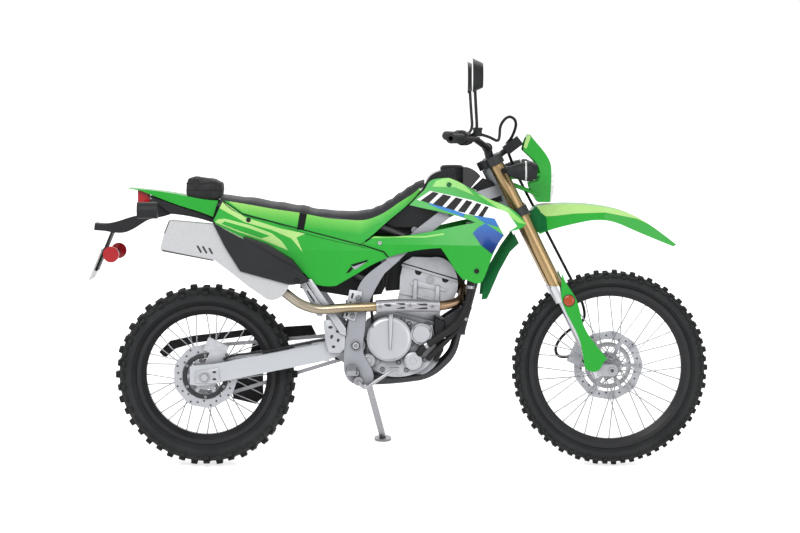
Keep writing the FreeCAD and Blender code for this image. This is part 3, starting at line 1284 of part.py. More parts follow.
def tail(nodes):
    anchor = (TAIL_X, TAIL_Z)
    block = slab(outline(anchor, TAIL_LENGTH, TAIL_SHARES), -TAIL_HALF, TAIL_HALF)
    plan = [(TAIL_X - OVERRUN, TAIL_HALF * 0.6), (TAIL_X + TAIL_LENGTH, TAIL_HALF), (TAIL_X + TAIL_LENGTH + OVERRUN, TAIL_HALF)]
    fender = block.common(plan_mask(plan, 0, WHEELBASE)).cut(nodes["side_covers"])
    fender = fender.cut(nodes["seat"]).cut(nodes["subframe"])
    nodes["tail_fender"] = max(fender.Solids, key=lambda solid: solid.Volume)
    bag_half = TAIL_HALF * 0.92
    bag = slab(outline(anchor, TAIL_LENGTH, BAG_SHARES), -bag_half, bag_half)
    bag = bag.cut(nodes["tail_fender"]).translated(V(0, 0, FIT))
    nodes["tool_bag"] = max(bag.Solids, key=lambda solid: solid.Volume)
    inner = slab(outline(anchor, TAIL_LENGTH, INNER_FENDER_SHARES), -TAIL_HALF * 0.82, TAIL_HALF * 0.82)
    inner = inner.cut(nodes["tail_fender"]).cut(nodes["subframe"])
    nodes["inner_fender"] = max(inner.Solids, key=lambda solid: solid.Volume)
    holder = slab(outline(anchor, TAIL_LENGTH, HOLDER_SHARES), -TAIL_HALF * 0.5, TAIL_HALF * 0.5)
    holder = holder.cut(nodes["inner_fender"]).cut(nodes["tail_fender"])
    signals = []
    signal_x = TAIL_X + TAIL_LENGTH * 0.27
    signal_z = TAIL_Z - TAIL_LENGTH * 0.235
    for side in (-1, 1):
        near = V(signal_x, side * TAIL_HALF * 0.5, signal_z)
        far = V(signal_x, side * REAR_SIGNAL_HALF, signal_z)
        stem = rod(near, far, SIGNAL_STEM)
        body = rod(V(signal_x - LAMP_RADIUS, far.y, signal_z), V(signal_x + LAMP_RADIUS, far.y, signal_z), LAMP_RADIUS - FIN_GAP)
        signals.append(fused([stem, body]).cut(holder))
    nodes["rear_signals"] = Part.makeCompound([max(s.Solids, key=lambda solid: solid.Volume) for s in signals])
    lamp_x = TAIL_X + TAIL_LENGTH * 0.12
    lamp = Part.makeBox(TAIL_LENGTH * 0.14, TAIL_HALF, TAIL_LENGTH * 0.17,
                        V(TAIL_X + TAIL_LENGTH * 0.12, -TAIL_HALF / 2, TAIL_Z - TAIL_LENGTH * 0.19))
    lamp = lamp.cut(nodes["tail_fender"]).cut(nodes["inner_fender"]).cut(holder)
    reflectors = []
    bars = []
    reflector_x = TAIL_X - TAIL_LENGTH * 0.157
    reflector_z = TAIL_Z - TAIL_LENGTH * 0.737
    for side in (-1, 1):
        out = side * REFLECTOR_HALF
        end = V(reflector_x, out - side * LINK_WALL, reflector_z)
        tie_y = side * TAIL_HALF / 4
        bars.append(rod(V(reflector_x, 0, reflector_z), end, SIGNAL_STEM / 2))
        bars.append(rod(V(reflector_x, tie_y, reflector_z), V(PLATE_TOP_X, tie_y, reflector_z), SIGNAL_STEM / 2))
        reflectors.append(rod(end, V(reflector_x, out, reflector_z), REFLECTOR_RADIUS))
    turn = FreeCAD.Rotation(V(0, 1, 0), PLATE_SLOPE)
    plate = Part.makeBox(NUMBER_PLATE_WALL, NUMBER_PLATE_HALF * 2, NUMBER_PLATE_HEIGHT,
                         V(0, -NUMBER_PLATE_HALF, -NUMBER_PLATE_HEIGHT))
    plate.Placement = FreeCAD.Placement(V(PLATE_TOP_X, 0, PLATE_TOP_Z), turn)
    back = Part.makeBox(LINK_WALL, TAIL_HALF, NUMBER_PLATE_HEIGHT * 1.35,
                        V(NUMBER_PLATE_WALL, -TAIL_HALF / 2, -NUMBER_PLATE_HEIGHT * 0.7))
    back.Placement = FreeCAD.Placement(V(PLATE_TOP_X, 0, PLATE_TOP_Z), turn)
    room = Part.makeBox(NUMBER_PLATE_WALL + OVERRUN, NUMBER_PLATE_HALF * 2, NUMBER_PLATE_HEIGHT * 2,
                        V(-OVERRUN, -NUMBER_PLATE_HALF, -NUMBER_PLATE_HEIGHT * 2))
    room.Placement = FreeCAD.Placement(V(PLATE_TOP_X, 0, PLATE_TOP_Z), turn)
    holder = fused([holder, back] + [bar.cut(room) for bar in bars])
    nodes["plate_holder"] = max(holder.Solids, key=lambda solid: solid.Volume)
    nodes["number_plate"] = plate.cut(nodes["plate_holder"])
    reflector_pair = [piece.cut(nodes["plate_holder"]).cut(plate) for piece in reflectors]
    nodes["rear_red_lamps"] = Part.makeCompound([lamp.Solids[0]] + [max(p.Solids, key=lambda solid: solid.Volume) for p in reflector_pair])


# Foot controls, pegs, brake calipers, chain guard, radiators

CALIPER_WEB = ((-681.0, 318.0), (-635.0, 318.0), (-585.0, 372.0), (-600.0, 400.0), (-640.0, 400.0))
PEG_X = -160.0
PEG_Z = 340.0
PEG_END = 258.0
PEG_HALF = 15.0
PEDAL_POINTS_SHARES = ((0.045, 0.015), (0.09, -0.04), (0.19, 0.03), (0.30, 0.10))
PEDAL_LENGTH = 480.0
RADIATOR_X = 232.0
RADIATOR_Z = 655.0
RADIATOR_HEIGHT = 172.0
RADIATOR_WIDTH = 84.0
RADIATOR_WALL = 28.0
RADIATOR_INNER = 88.0
RADIATOR_TIES = (0.2, 0.85)
DOWN_TUBE_X = 207.0
DOWN_TUBE_Z = 460.0
DOWN_TUBE_SLOPE = 0.265


def pegs():
    base = Part.makeBox(PEG_HALF * 2, PEG_HALF, PEG_HALF * 2, V(PEG_X - PEG_HALF, PLATE_INNER + PLATE_WALL, PEG_Z - PEG_HALF))
    tread = Part.makeBox(PEG_HALF * 2, PEG_END - PLATE_INNER - PLATE_WALL - PEG_HALF, PEG_HALF,
                         V(PEG_X - PEG_HALF, PLATE_INNER + PLATE_WALL + PEG_HALF, PEG_Z - PEG_HALF / 2))
    return both(fused([base, tread]))


def foot_levers(nodes):
    y = -PLATE_INNER - PLATE_WALL - PEG_HALF
    points = [V(PEG_X + x * PEDAL_LENGTH, y, PEG_Z - PEG_HALF * 3 + z * PEDAL_LENGTH) for x, z in PEDAL_POINTS_SHARES]
    pedal = tube(points, BOLT_RADIUS, 0.42)
    hub = disc_between(points[0].x, points[0].z, y, -PLATE_INNER - PLATE_WALL, PEG_HALF)
    pad = Part.makeBox(PEG_HALF * 2, PEG_HALF * 2, BOLT_RADIUS * 2, V(points[-1].x - PEG_HALF, y - PEG_HALF, points[-1].z - BOLT_RADIUS))
    right = fused([pedal, hub, pad])
    gear_y = CASE_HALF + COVER_OUT
    shaft_x = CLUTCH_X
    shaft_z = CRANK_Z - STATOR_RADIUS / 2
    shaft = disc_between(shaft_x, shaft_z, CASE_HALF, gear_y + PEG_HALF, BOLT_RADIUS + LINK_WALL / 2)
    arm = rod(V(shaft_x, gear_y, shaft_z), V(shaft_x + CASE_LENGTH / 2, gear_y, shaft_z - PEG_HALF), BOLT_RADIUS)
    toe = disc_between(shaft_x + CASE_LENGTH / 2, shaft_z - PEG_HALF, gear_y, gear_y + PEG_HALF * 2, LINK_WALL)
    left = fused([shaft, arm, toe])
    for solid in (nodes["crankcase"], nodes["frame_cradle"], nodes["pivot_plates"]):
        left = left.cut(solid)
        right = right.cut(solid)
    nodes["foot_levers"] = Part.makeCompound([max(s.Solids, key=lambda solid: solid.Volume) for s in (left, right)])


def caliper(x, z, radius, disc_low, disc_high, turn, bracket):
    wide = CARRIER_RADIUS + PEG_HALF
    low = disc_low - PAD_GAP - CALIPER_OUT
    high = disc_high + PAD_GAP + CALIPER_OUT
    block = Part.makeBox(DISC_BAND + PEG_HALF, high - low, wide + PEG_HALF, V(x + radius - DISC_BAND, low, z - wide / 2))
    block.rotate(V(x, 0, z), V(0, 1, 0), turn)
    slot = disc_between(x, z, disc_low - PAD_GAP, disc_high + PAD_GAP, radius + PAD_GAP)
    return block.cut(slot)


def stand_foot():
    ground = STAND_FOOT_Y * math.tan(math.radians(LEAN_ANGLE))
    return V(STAND_FOOT_X, STAND_FOOT_Y, ground)


def stand_axis():
    down = (stand_foot() + V(0, 0, STAND_PAD_WALL) - V(STAND_X, STAND_Y, STAND_Z)).normalize()
    return down.cross(V(*STAND_STOW_SHARES)).normalize()


def side_stand():
    pivot = V(STAND_X, STAND_Y, STAND_Z)
    foot = stand_foot() + V(0, 0, STAND_PAD_WALL)
    axis = stand_axis()
    leg = rod(pivot, foot, STAND_TUBE)
    knuckle = rod(pivot - axis * KNUCKLE_HALF, pivot + axis * KNUCKLE_HALF, KNUCKLE_RADIUS)
    pad = Part.makeCylinder(STAND_PAD, STAND_PAD_WALL, V(0, 0, 0))
    pad.rotate(V(0, 0, 0), V(1, 0, 0), LEAN_ANGLE)
    pad.translate(stand_foot())
    hole = rod(pivot - axis * OVERRUN, pivot + axis * OVERRUN, BOLT_RADIUS + FIT)
    return fused([leg, knuckle, pad]).cut(hole)


def stand_bracket():
    pivot = V(STAND_X, STAND_Y, STAND_Z)
    axis = stand_axis()
    near = pivot - axis * (KNUCKLE_HALF + FIT)
    back = near - axis * LINK_WALL
    far = pivot + axis * (KNUCKLE_HALF + FIT)
    ear = rod(back, near, KNUCKLE_RADIUS + PANEL_WALL)
    bolt = rod(back, far, BOLT_RADIUS)
    nut = rod(far, far + axis * BOLT_RADIUS, BOLT_RADIUS + PANEL_WALL)
    plate_point = V(STAND_X - PEG_HALF, PLATE_INNER + PLATE_WALL / 2, STAND_Z + PEG_HALF)
    arm = rod(back + axis * (LINK_WALL / 2), plate_point, STAND_TUBE)
    arm = arm.cut(rod(near, near + axis * OVERRUN, OVERRUN))
    return fused([ear, bolt, nut, arm])


def small_parts(nodes):
    nodes["rider_pegs"] = pegs()
    foot_levers(nodes)
    half = HUB_HALF
    front = caliper(FRONT_AXLE_X, FRONT_RADIUS, FRONT_DISC_RADIUS, half, half + DISC_WALL, 180.0 + 25.0, None)
    nodes["front_caliper"] = front.cut(nodes["fork_lowers"])
    rear = caliper(REAR_AXLE_X, REAR_RADIUS, REAR_DISC_RADIUS, -half - DISC_WALL, -half, -65.0, None)
    inner = -ARM_INNER + LINK_WALL
    ring = disc_between(REAR_AXLE_X, REAR_RADIUS, -ARM_INNER, inner, AXLE_RADIUS + LINK_WALL + LINK_WALL)
    web = polygon(CALIPER_WEB, -ARM_INNER, inner)
    rear = fused([rear, ring, web]).cut(nodes["swingarm"]).cut(nodes["rear_axle"])
    nodes["rear_caliper"] = max(rear.Solids, key=lambda solid: solid.Volume)
    core = Part.makeBox(RADIATOR_WALL, RADIATOR_WIDTH, RADIATOR_HEIGHT, V(RADIATOR_X, RADIATOR_INNER, RADIATOR_Z))
    pieces = [core]
    for share in RADIATOR_TIES:
        height = RADIATOR_Z + RADIATOR_HEIGHT * share
        middle = V(RADIATOR_X + RADIATOR_WALL / 2, RADIATOR_INNER + RADIATOR_WALL / 2, height)
        down = (height - DOWN_TUBE_Z) * DOWN_TUBE_SLOPE
        pieces.append(rod(middle, V(DOWN_TUBE_X + down, 0, height), BOLT_RADIUS))
    radiator = fused(pieces).cut(nodes["frame_cradle"])
    nodes["radiators"] = both(max(radiator.Solids, key=lambda solid: solid.Volume))
    nodes["side_stand"] = side_stand()
    nodes["pivot_plates"] = fused([nodes["pivot_plates"], stand_bracket()])


def set_down(shape):
    shape = shape.copy()
    shape.rotate(V(0, 0, 0), V(1, 0, 0), -LEAN_ANGLE)
    crown = (FRONT_WIDTH + REAR_WIDTH) / 4
    lift = crown * (1 - math.cos(math.radians(LEAN_ANGLE)))
    shape.translate(V(0, LINE_OFFSET, lift))
    return shape


def main():
    nodes = {}
    wheels(nodes)
    nodes["chain"] = chain()
    fork(nodes)
    triple_clamps(nodes)
    handlebar(nodes)
    front_fittings(nodes)
    frame(nodes)
    bodywork(nodes)
    engine(nodes, nodes["frame_cradle"])
    exhaust(nodes)
    rear_suspension(nodes)
    nodes["subframe"] = subframe(nodes["frame_beams"]).cut(nodes["pivot_plates"])
    tail(nodes)
    small_parts(nodes)
    os.makedirs("parts", exist_ok=True)
    for name, shape in nodes.items():
        box = shape.BoundBox
        print(name, shape.isValid(), len(shape.Solids), round(shape.Volume),
              [round(v) for v in (box.XMin, box.XMax, box.YMin, box.YMax, box.ZMin, box.ZMax)])
        set_down(shape).exportStep("parts/" + name + ".step")


main()
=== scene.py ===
import bpy
import bmesh
import math
from mathutils import Matrix, Vector
from mathutils.bvhtree import BVHTree


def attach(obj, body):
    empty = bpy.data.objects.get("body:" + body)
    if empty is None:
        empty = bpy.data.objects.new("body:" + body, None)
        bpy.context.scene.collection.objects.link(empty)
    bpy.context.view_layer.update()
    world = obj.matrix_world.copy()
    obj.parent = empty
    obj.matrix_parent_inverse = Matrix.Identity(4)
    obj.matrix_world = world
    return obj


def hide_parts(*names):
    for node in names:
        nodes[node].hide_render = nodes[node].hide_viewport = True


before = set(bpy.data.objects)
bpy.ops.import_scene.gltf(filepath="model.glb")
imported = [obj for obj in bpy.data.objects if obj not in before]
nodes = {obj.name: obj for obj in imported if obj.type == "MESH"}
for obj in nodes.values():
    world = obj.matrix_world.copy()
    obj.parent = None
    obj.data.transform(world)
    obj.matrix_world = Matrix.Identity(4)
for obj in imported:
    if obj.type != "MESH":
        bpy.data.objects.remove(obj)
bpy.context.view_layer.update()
scene = bpy.context.scene
scene.view_settings.view_transform = "Standard"
print("frame loaded:", len(nodes), "nodes")

# The machine leans on its side stand. Pieces are made upright, in millimetres, then leaned.
lean = {"angle": 10.0, "sideways": -206.0, "lift": 0.72}
turnBack = Matrix.Rotation(math.radians(-lean["angle"]), 4, "X")
uprightToWorld = Matrix.Scale(0.001, 4) @ Matrix.Translation((0, lean["sideways"], lean["lift"])) @ turnBack
worldToUpright = uprightToWorld.inverted()


# Shader nodes

def setInputs(tree, node, inputs):
    # Each input is set to its value, or linked where that is another node's socket.
    for key, value in inputs.items():
        if isinstance(value, bpy.types.NodeSocket):
            tree.links.new(value, node.inputs[key])
        else:
            node.inputs[key].default_value = value


def addNode(tree, kind, inputs, **settings):
    node = tree.nodes.new("ShaderNode" + kind)
    for key, value in settings.items():
        setattr(node, key, value)
    setInputs(tree, node, inputs)
    return node


def seenRays(tree):
    # 1 for camera, glossy and transmission rays, so that metal and glass show the background too.
    path = addNode(tree, "LightPath", {})
    seen = path.outputs["Is Camera Ray"]
    for kind in ("Is Glossy Ray", "Is Transmission Ray"):
        seen = addNode(tree, "Math", {0: seen, 1: path.outputs[kind]}, operation="MAXIMUM").outputs[0]
    return seen


# Camera, floor and light

view = {"distance": 9000.0, "height": 1232.0, "aside": 2.7, "tilt": 3.5, "lens": 118.6}
cameraData = bpy.data.cameras.new("camera")
cameraData.lens = view["lens"]
cameraData.sensor_width = 36.0
cameraData.clip_end = 100.0
camera = bpy.data.objects.new("camera", cameraData)
scene.collection.objects.link(camera)
place = Matrix.Translation((view["aside"] / 1000, -view["distance"] / 1000, view["height"] / 1000))
aim = Matrix.Rotation(math.radians(90 - view["tilt"]), 4, "X")
stand = Matrix.Translation((0, lean["sideways"] / 1000, lean["lift"] / 1000)) @ turnBack
camera.matrix_world = stand @ place @ aim
scene.camera = camera

studio = {"world": 0.40, "floor": 0.8, "glow": 0.70, "lights": {
    # name: energy, size, location, height looked at
    "keyLight": (230.0, (4.5, 3.0), (-1.5, -3.6, 4.4), 0.6),
    "fillLight": (60.0, (3.5, 2.5), (3.4, -4.2, 1.6), 0.6),
    "rimLight": (90.0, (4.0, 2.0), (0.5, 3.8, 3.6), 0.7),
}}
world = bpy.data.worlds.new("studio")
scene.world = world
world.use_nodes = True
tree = world.node_tree
tree.nodes.clear()
soft = addNode(tree, "Background", {"Color": (1.0, 1.0, 1.0, 1.0), "Strength": studio["world"]})
white = addNode(tree, "Background", {"Color": (1.0, 1.0, 1.0, 1.0), "Strength": 1.0})
mix = addNode(tree, "MixShader", {"Fac": seenRays(tree), 1: soft.outputs[0], 2: white.outputs[0]})
addNode(tree, "OutputWorld", {"Surface": mix.outputs[0]})

for name, (energy, size, location, height) in studio["lights"].items():
    data = bpy.data.lights.new(name, "AREA")
    data.energy = energy
    data.shape = "RECTANGLE"
    data.size, data.size_y = size
    lamp = bpy.data.objects.new(name, data)
    scene.collection.objects.link(lamp)
    lamp.location = location
    lamp.rotation_euler = (Vector((0, 0, height)) - Vector(location)).to_track_quat("-Z", "Y").to_euler()

floorMesh = bpy.data.meshes.new("floor")
work = bmesh.new()
bmesh.ops.create_circle(work, cap_ends=True, segments=64, radius=30.0)
work.to_mesh(floorMesh)
work.free()
floor = bpy.data.objects.new("floor", floorMesh)
scene.collection.objects.link(floor)
floor.location = (0, 0, -0.0005)
floorFinish = bpy.data.materials.new("floorFinish")
floorFinish.use_nodes = True
tree = floorFinish.node_tree
shader = tree.nodes["Principled BSDF"]
setInputs(tree, shader, {"Base Color": (studio["floor"], studio["floor"], studio["floor"], 1.0), "Roughness": 0.9})
glow = addNode(tree, "Emission", {"Strength": studio["glow"]})
lit = addNode(tree, "AddShader", {0: shader.outputs[0], 1: glow.outputs[0]})
mix = addNode(tree, "MixShader", {"Fac": seenRays(tree), 1: shader.outputs[0], 2: lit.outputs[0]})
tree.links.new(mix.outputs[0], tree.nodes["Material Output"].inputs["Surface"])
floorMesh.materials.append(floorFinish)
print("camera, floor and light set")


# Shader groups: used by many materials, each with its own values

def newGroup(name, inputs, outputs):
    # Inputs are (label, kind, value or None), and outputs are (label, kind).
    group = bpy.data.node_groups.new(name, "ShaderNodeTree")
    for label, kind, value in inputs:
        socket = group.interface.new_socket(name=label, in_out="INPUT", socket_type="NodeSocket" + kind)
        if value is not None:
            socket.default_value = value
    for label, kind in outputs:
        group.interface.new_socket(name=label, in_out="OUTPUT", socket_type="NodeSocket" + kind)
    return group, group.nodes.new("NodeGroupInput"), group.nodes.new("NodeGroupOutput")


def spreadRoughness(group, start, value):
    # The noise value spread between the group's low and high roughness.
    spread = addNode(group, "MapRange", {"Value": value, "From Min": 0.3, "From Max": 0.7,
                                         "To Min": start.outputs["Roughness Low"],
                                         "To Max": start.outputs["Roughness High"]})
    return spread.outputs["Result"]


def buildGrain():
    # Fine even grain of moulded plastic, rubber and cast metal.
    group, start, end = newGroup("fineGrain", [("Vector", "Vector", None), ("Scale", "Float", 900.0),
                                               ("Roughness Low", "Float", 0.3), ("Roughness High", "Float", 0.5)],
                                 [("Height", "Float"), ("Roughness", "Float")])
    where = start.outputs["Vector"]
    fine = addNode(group, "TexNoise", {"Vector": where, "Scale": start.outputs["Scale"], "Detail": 3.0})
    broad = addNode(group, "TexNoise", {"Vector": where, "Scale": 9.0, "Detail": 5.0})
    setInputs(group, end, {"Height": fine.outputs["Fac"],
                           "Roughness": spreadRoughness(group, start, broad.outputs["Fac"])})
    return group


def buildTone():
    # Slow change of a colour towards a second one, with finer specks on top.
    group, start, end = newGroup("toneDrift", [("Vector", "Vector", None), ("Scale", "Float", 6.0),
                                               ("Colour", "Color", (0.5, 0.5, 0.5, 1)),
                                               ("Second Colour", "Color", (0.4, 0.4, 0.4, 1)),
                                               ("Amount", "Float", 0.5)], [("Colour", "Color")])
    noise = addNode(group, "TexNoise", {"Vector": start.outputs["Vector"], "Scale": start.outputs["Scale"],
                                        "Detail": 6.0, "Roughness": 0.62})
    spread = addNode(group, "MapRange", {"Value": noise.outputs["Fac"], "From Min": 0.35, "From Max": 0.75,
                                         "To Max": start.outputs["Amount"]})
    blend = addNode(group, "Mix", {"Factor": spread.outputs["Result"], "A": start.outputs["Colour"],
                                   "B": start.outputs["Second Colour"]}, data_type="RGBA")
    setInputs(group, end, {"Colour": blend.outputs["Result"]})
    return group


def buildBrushed():
    # Fine parallel lines of machined or brushed metal, long along the stretched axis.
    group, start, end = newGroup("brushedLines", [("Vector", "Vector", None), ("Stretch", "Vector", (1, 1, 1)),
                                                  ("Roughness Low", "Float", 0.2), ("Roughness High", "Float", 0.4)],
                                 [("Height", "Float"), ("Roughness", "Float")])
    scale = addNode(group, "VectorMath", {0: start.outputs["Vector"], 1: start.outputs["Stretch"]},
                    operation="MULTIPLY")
    noise = addNode(group, "TexNoise", {"Vector": scale.outputs[0], "Scale": 60.0, "Detail": 4.0})
    setInputs(group, end, {"Height": noise.outputs["Fac"],
                           "Roughness": spreadRoughness(group, start, noise.outputs["Fac"])})
    return group


fineGrain = buildGrain()
toneDrift = buildTone()
brushedLines = buildBrushed()


# Materials

def newMaterial(name):
    # A material whose patterns read the upright machine's own axes, in metres.
    material = bpy.data.materials.new(name)
    material.use_nodes = True
    tree = material.node_tree
    angle = math.radians(lean["angle"])
    back = Matrix.Rotation(angle, 4, "X") @ Vector((0, lean["sideways"], lean["lift"]))
    axes = addNode(tree, "TexCoord", {})
    upright = addNode(tree, "Mapping", {"Vector": axes.outputs["Object"], "Location": -back / 1000,
                                        "Rotation": (angle, 0, 0)})
    return material, tree, tree.nodes["Principled BSDF"], upright.outputs["Vector"]


def toneOf(tree, where, colour, second, scale, amount):
    tone = addNode(tree, "Group", {"Vector": where, "Scale": scale, "Colour": (*colour, 1),
                                   "Second Colour": (*second, 1), "Amount": amount}, node_tree=toneDrift)
    return tone.outputs["Colour"]


def grainOf(tree, where, scale, rough):
    fine = addNode(tree, "Group", {"Vector": where, "Scale": scale, "Roughness Low": rough[0],
                                   "Roughness High": rough[1]}, node_tree=fineGrain)
    return fine.outputs


def bumpOf(tree, height, strength, distance):
    bump = addNode(tree, "Bump", {"Height": height, "Strength": strength, "Distance": distance})
    return bump.outputs["Normal"]


def rampOf(tree, value, stops):
    # Stops are (position, colour); the first and the last stand at the ramp's ends.
    ramp = addNode(tree, "ValToRGB", {"Fac": value})
    ramp.color_ramp.elements[0].color = (*stops[0][1], 1)
    ramp.color_ramp.elements[1].color = (*stops[-1][1], 1)
    for position, colour in stops[1:-1]:
        ramp.color_ramp.elements.new(position).color = (*colour, 1)
    return ramp.outputs["Color"]


def paintedCreviceShade(tree, colour, amount, reach):
    # Painted shade: ambient occlusion darkens the base colour where surfaces stand close together.
    hollow = addNode(tree, "AmbientOcclusion", {"Distance": reach}, samples=6)
    spread = addNode(tree, "MapRange", {"Value": hollow.outputs["AO"], "From Min": 0.3, "From Max": 0.95,
                                        "To Min": 1.0 - amount})
    shade = addNode(tree, "Mix", {"Factor": 1.0, "A": colour, "B": spread.outputs["Result"]}, data_type="RGBA",
                    blend_type="MULTIPLY")
    return shade.outputs["Result"]


def grainedMaterial(name, colour, second, rough, grain, bump, metallic=0.0, coat=0.0, drift=(6.0, 0.5), ior=1.4,
                    creviceShade=0.35, reach=0.03):
    material, tree, shader, where = newMaterial(name)
    tone = toneOf(tree, where, colour, second, *drift)
    fine = grainOf(tree, where, grain, rough)
    # The base colour carries painted shade where surfaces stand close together.
    setInputs(tree, shader, {"Base Color": paintedCreviceShade(tree, tone, creviceShade, reach),
                             "Roughness": fine["Roughness"], "Normal": bumpOf(tree, fine["Height"], bump, 0.0006),
                             "Metallic": metallic, "Coat Weight": coat, "Coat Roughness": 0.06, "IOR": ior})
    return material


def brushedMaterial(name, colour, second, rough, stretch, bump, metallic=1.0, creviceShade=0.6):
    material, tree, shader, where = newMaterial(name)
    tone = toneOf(tree, where, colour, second, 5.0, 0.4)
    lines = addNode(tree, "Group", {"Vector": where, "Stretch": stretch, "Roughness Low": rough[0],
                                    "Roughness High": rough[1]}, node_tree=brushedLines).outputs
    # The base colour carries painted shade where surfaces stand close together.
    setInputs(tree, shader, {"Base Color": paintedCreviceShade(tree, tone, creviceShade, 0.03),
                             "Roughness": lines["Roughness"], "Normal": bumpOf(tree, lines["Height"], bump, 0.0004),
                             "Metallic": metallic})
    return material


def paleBelow(material, height, colour):
    # The cast lug under the tube keeps its bare metal.
    tree = material.node_tree
    shader = tree.nodes["Principled BSDF"]
    upright = next(node for node in tree.nodes if node.type == "MAPPING")
    split = addNode(tree, "SeparateXYZ", {0: upright.outputs["Vector"]})
    step = addNode(tree, "Math", {0: split.outputs["Z"], 1: height}, operation="LESS_THAN")
    choose = addNode(tree, "Mix", {"Factor": step.outputs[0], "B": (*colour, 1),
                                   "A": shader.inputs["Base Color"].links[0].from_socket}, data_type="RGBA")
    setInputs(tree, shader, {"Base Color": choose.outputs["Result"]})


def tintedSteel():
    # Heat colours run along the pipe from the engine to the muffler.
    material, tree, shader, where = newMaterial("headerSteel")
    split = addNode(tree, "SeparateXYZ", {0: where})
    noise = addNode(tree, "TexNoise", {"Vector": where, "Scale": 22.0, "Detail": 4.0})
    shift = addNode(tree, "Math", {0: noise.outputs["Fac"], 1: 0.12, 2: split.outputs["X"]},
                    operation="MULTIPLY_ADD")
    along = addNode(tree, "MapRange", {"Value": shift.outputs[0], "From Min": -0.35, "From Max": 0.3})
    tint = rampOf(tree, along.outputs["Result"], [(0.0, (0.34, 0.31, 0.26)), (0.4, (0.28, 0.22, 0.14)),
                                                  (0.7, (0.32, 0.21, 0.11)), (1.0, (0.20, 0.13, 0.09))])
    fine = grainOf(tree, where, 600.0, (0.2, 0.34))
    # The heat colours carry painted shade where surfaces stand close together.
    setInputs(tree, shader, {"Base Color": paintedCreviceShade(tree, tint, 0.7, 0.03), "Roughness": fine["Roughness"],
                             "Normal": bumpOf(tree, fine["Height"], 0.05, 0.0005), "Metallic": 1.0})
    return material


def seatVinyl():
    # Pebbled vinyl: rounded cells with fine creases between them.
    material, tree, shader, where = newMaterial("seatVinyl")
    cells = addNode(tree, "TexVoronoi", {"Vector": where, "Scale": 420.0})
    setInputs(tree, shader, {"Base Color": toneOf(tree, where, (0.020, 0.021, 0.024), (0.032, 0.033, 0.037), 8.0, 0.7),
                             "Roughness": grainOf(tree, where, 900.0, (0.5, 0.64))["Roughness"],
                             "Normal": bumpOf(tree, cells.outputs["Distance"], 0.35, 0.0008), "IOR": 1.3})
    return material


def bagWeave():
    # Plain weave: two crossed sets of thin threads.
    material, tree, shader, where = newMaterial("bagWeave")
    threads = [addNode(tree, "TexWave", {"Vector": where, "Scale": 190.0, "Distortion": 0.6, "Detail": 2.0},
                       bands_direction=direction).outputs["Fac"] for direction in ("X", "Z")]
    woven = addNode(tree, "Math", {0: threads[0], 1: threads[1]}, operation="MULTIPLY")
    setInputs(tree, shader, {"Base Color": toneOf(tree, where, (0.022, 0.022, 0.024), (0.038, 0.038, 0.041), 30.0, 0.8),
                             "Normal": bumpOf(tree, woven.outputs[0], 0.5, 0.0008), "Roughness": 0.86, "IOR": 1.3,
                             "Sheen Weight": 0.1})
    return material


def clearLens():
    material, tree, shader, where = newMaterial("lampLens")
    fine = grainOf(tree, where, 260.0, (0.02, 0.05))
    setInputs(tree, shader, {"Base Color": (0.95, 0.96, 0.97, 1), "Roughness": fine["Roughness"],
                             "Normal": bumpOf(tree, fine["Height"], 0.04, 0.0005), "Transmission Weight": 0.8,
                             "IOR": 1.45})
    return material


def blueFade():
    # Blue film that darkens towards its lower tip.
    material, tree, shader, where = newMaterial("blueFade")
    split = addNode(tree, "SeparateXYZ", {0: where})
    along = addNode(tree, "MapRange", {"Value": split.outputs["Z"], "From Min": 0.735, "From Max": 0.87})
    fine = grainOf(tree, where, 700.0, (0.2, 0.3))
    setInputs(tree, shader, {"Base Color": rampOf(tree, along.outputs["Result"], [
        (0.0, (0.006, 0.012, 0.07)), (0.45, (0.003, 0.06, 0.30)), (1.0, (0.004, 0.17, 0.50))]),
        "Roughness": fine["Roughness"], "Normal": bumpOf(tree, fine["Height"], 0.03, 0.0005), "IOR": 1.3})
    return material


def paintSeatSideHighlight():
    # Painted highlight: the panel beside the seat pales towards the seat's edge, which rises at the front.
    material, tree, shader, where = newMaterial("seatSideHighlight")
    split = addNode(tree, "SeparateXYZ", {0: where})
    ahead = addNode(tree, "Math", {0: split.outputs["X"], 1: 0.13}, operation="ADD")
    height = split.outputs["Z"]
    for operation, slope in (("MAXIMUM", -0.62), ("MINIMUM", 0.11)):
        half = addNode(tree, "Math", {0: ahead.outputs[0], 1: 0.0}, operation=operation)
        height = addNode(tree, "Math", {0: half.outputs[0], 1: slope, 2: height}, operation="MULTIPLY_ADD").outputs[0]
    spread = addNode(tree, "MapRange", {"Value": height, "From Min": 0.795, "From Max": 0.870})
    fine = grainOf(tree, where, 700.0, (0.22, 0.32))
    setInputs(tree, shader, {"Base Color": rampOf(tree, spread.outputs["Result"], [
        (0.0, (0.018, 0.345, 0.030)), (0.5, (0.13, 0.50, 0.075)), (1.0, (0.36, 0.64, 0.16))]),
        "Roughness": fine["Roughness"], "Normal": bumpOf(tree, fine["Height"], 0.03, 0.0005), "Coat Weight": 0.1,
        "IOR": 1.35})
    return material
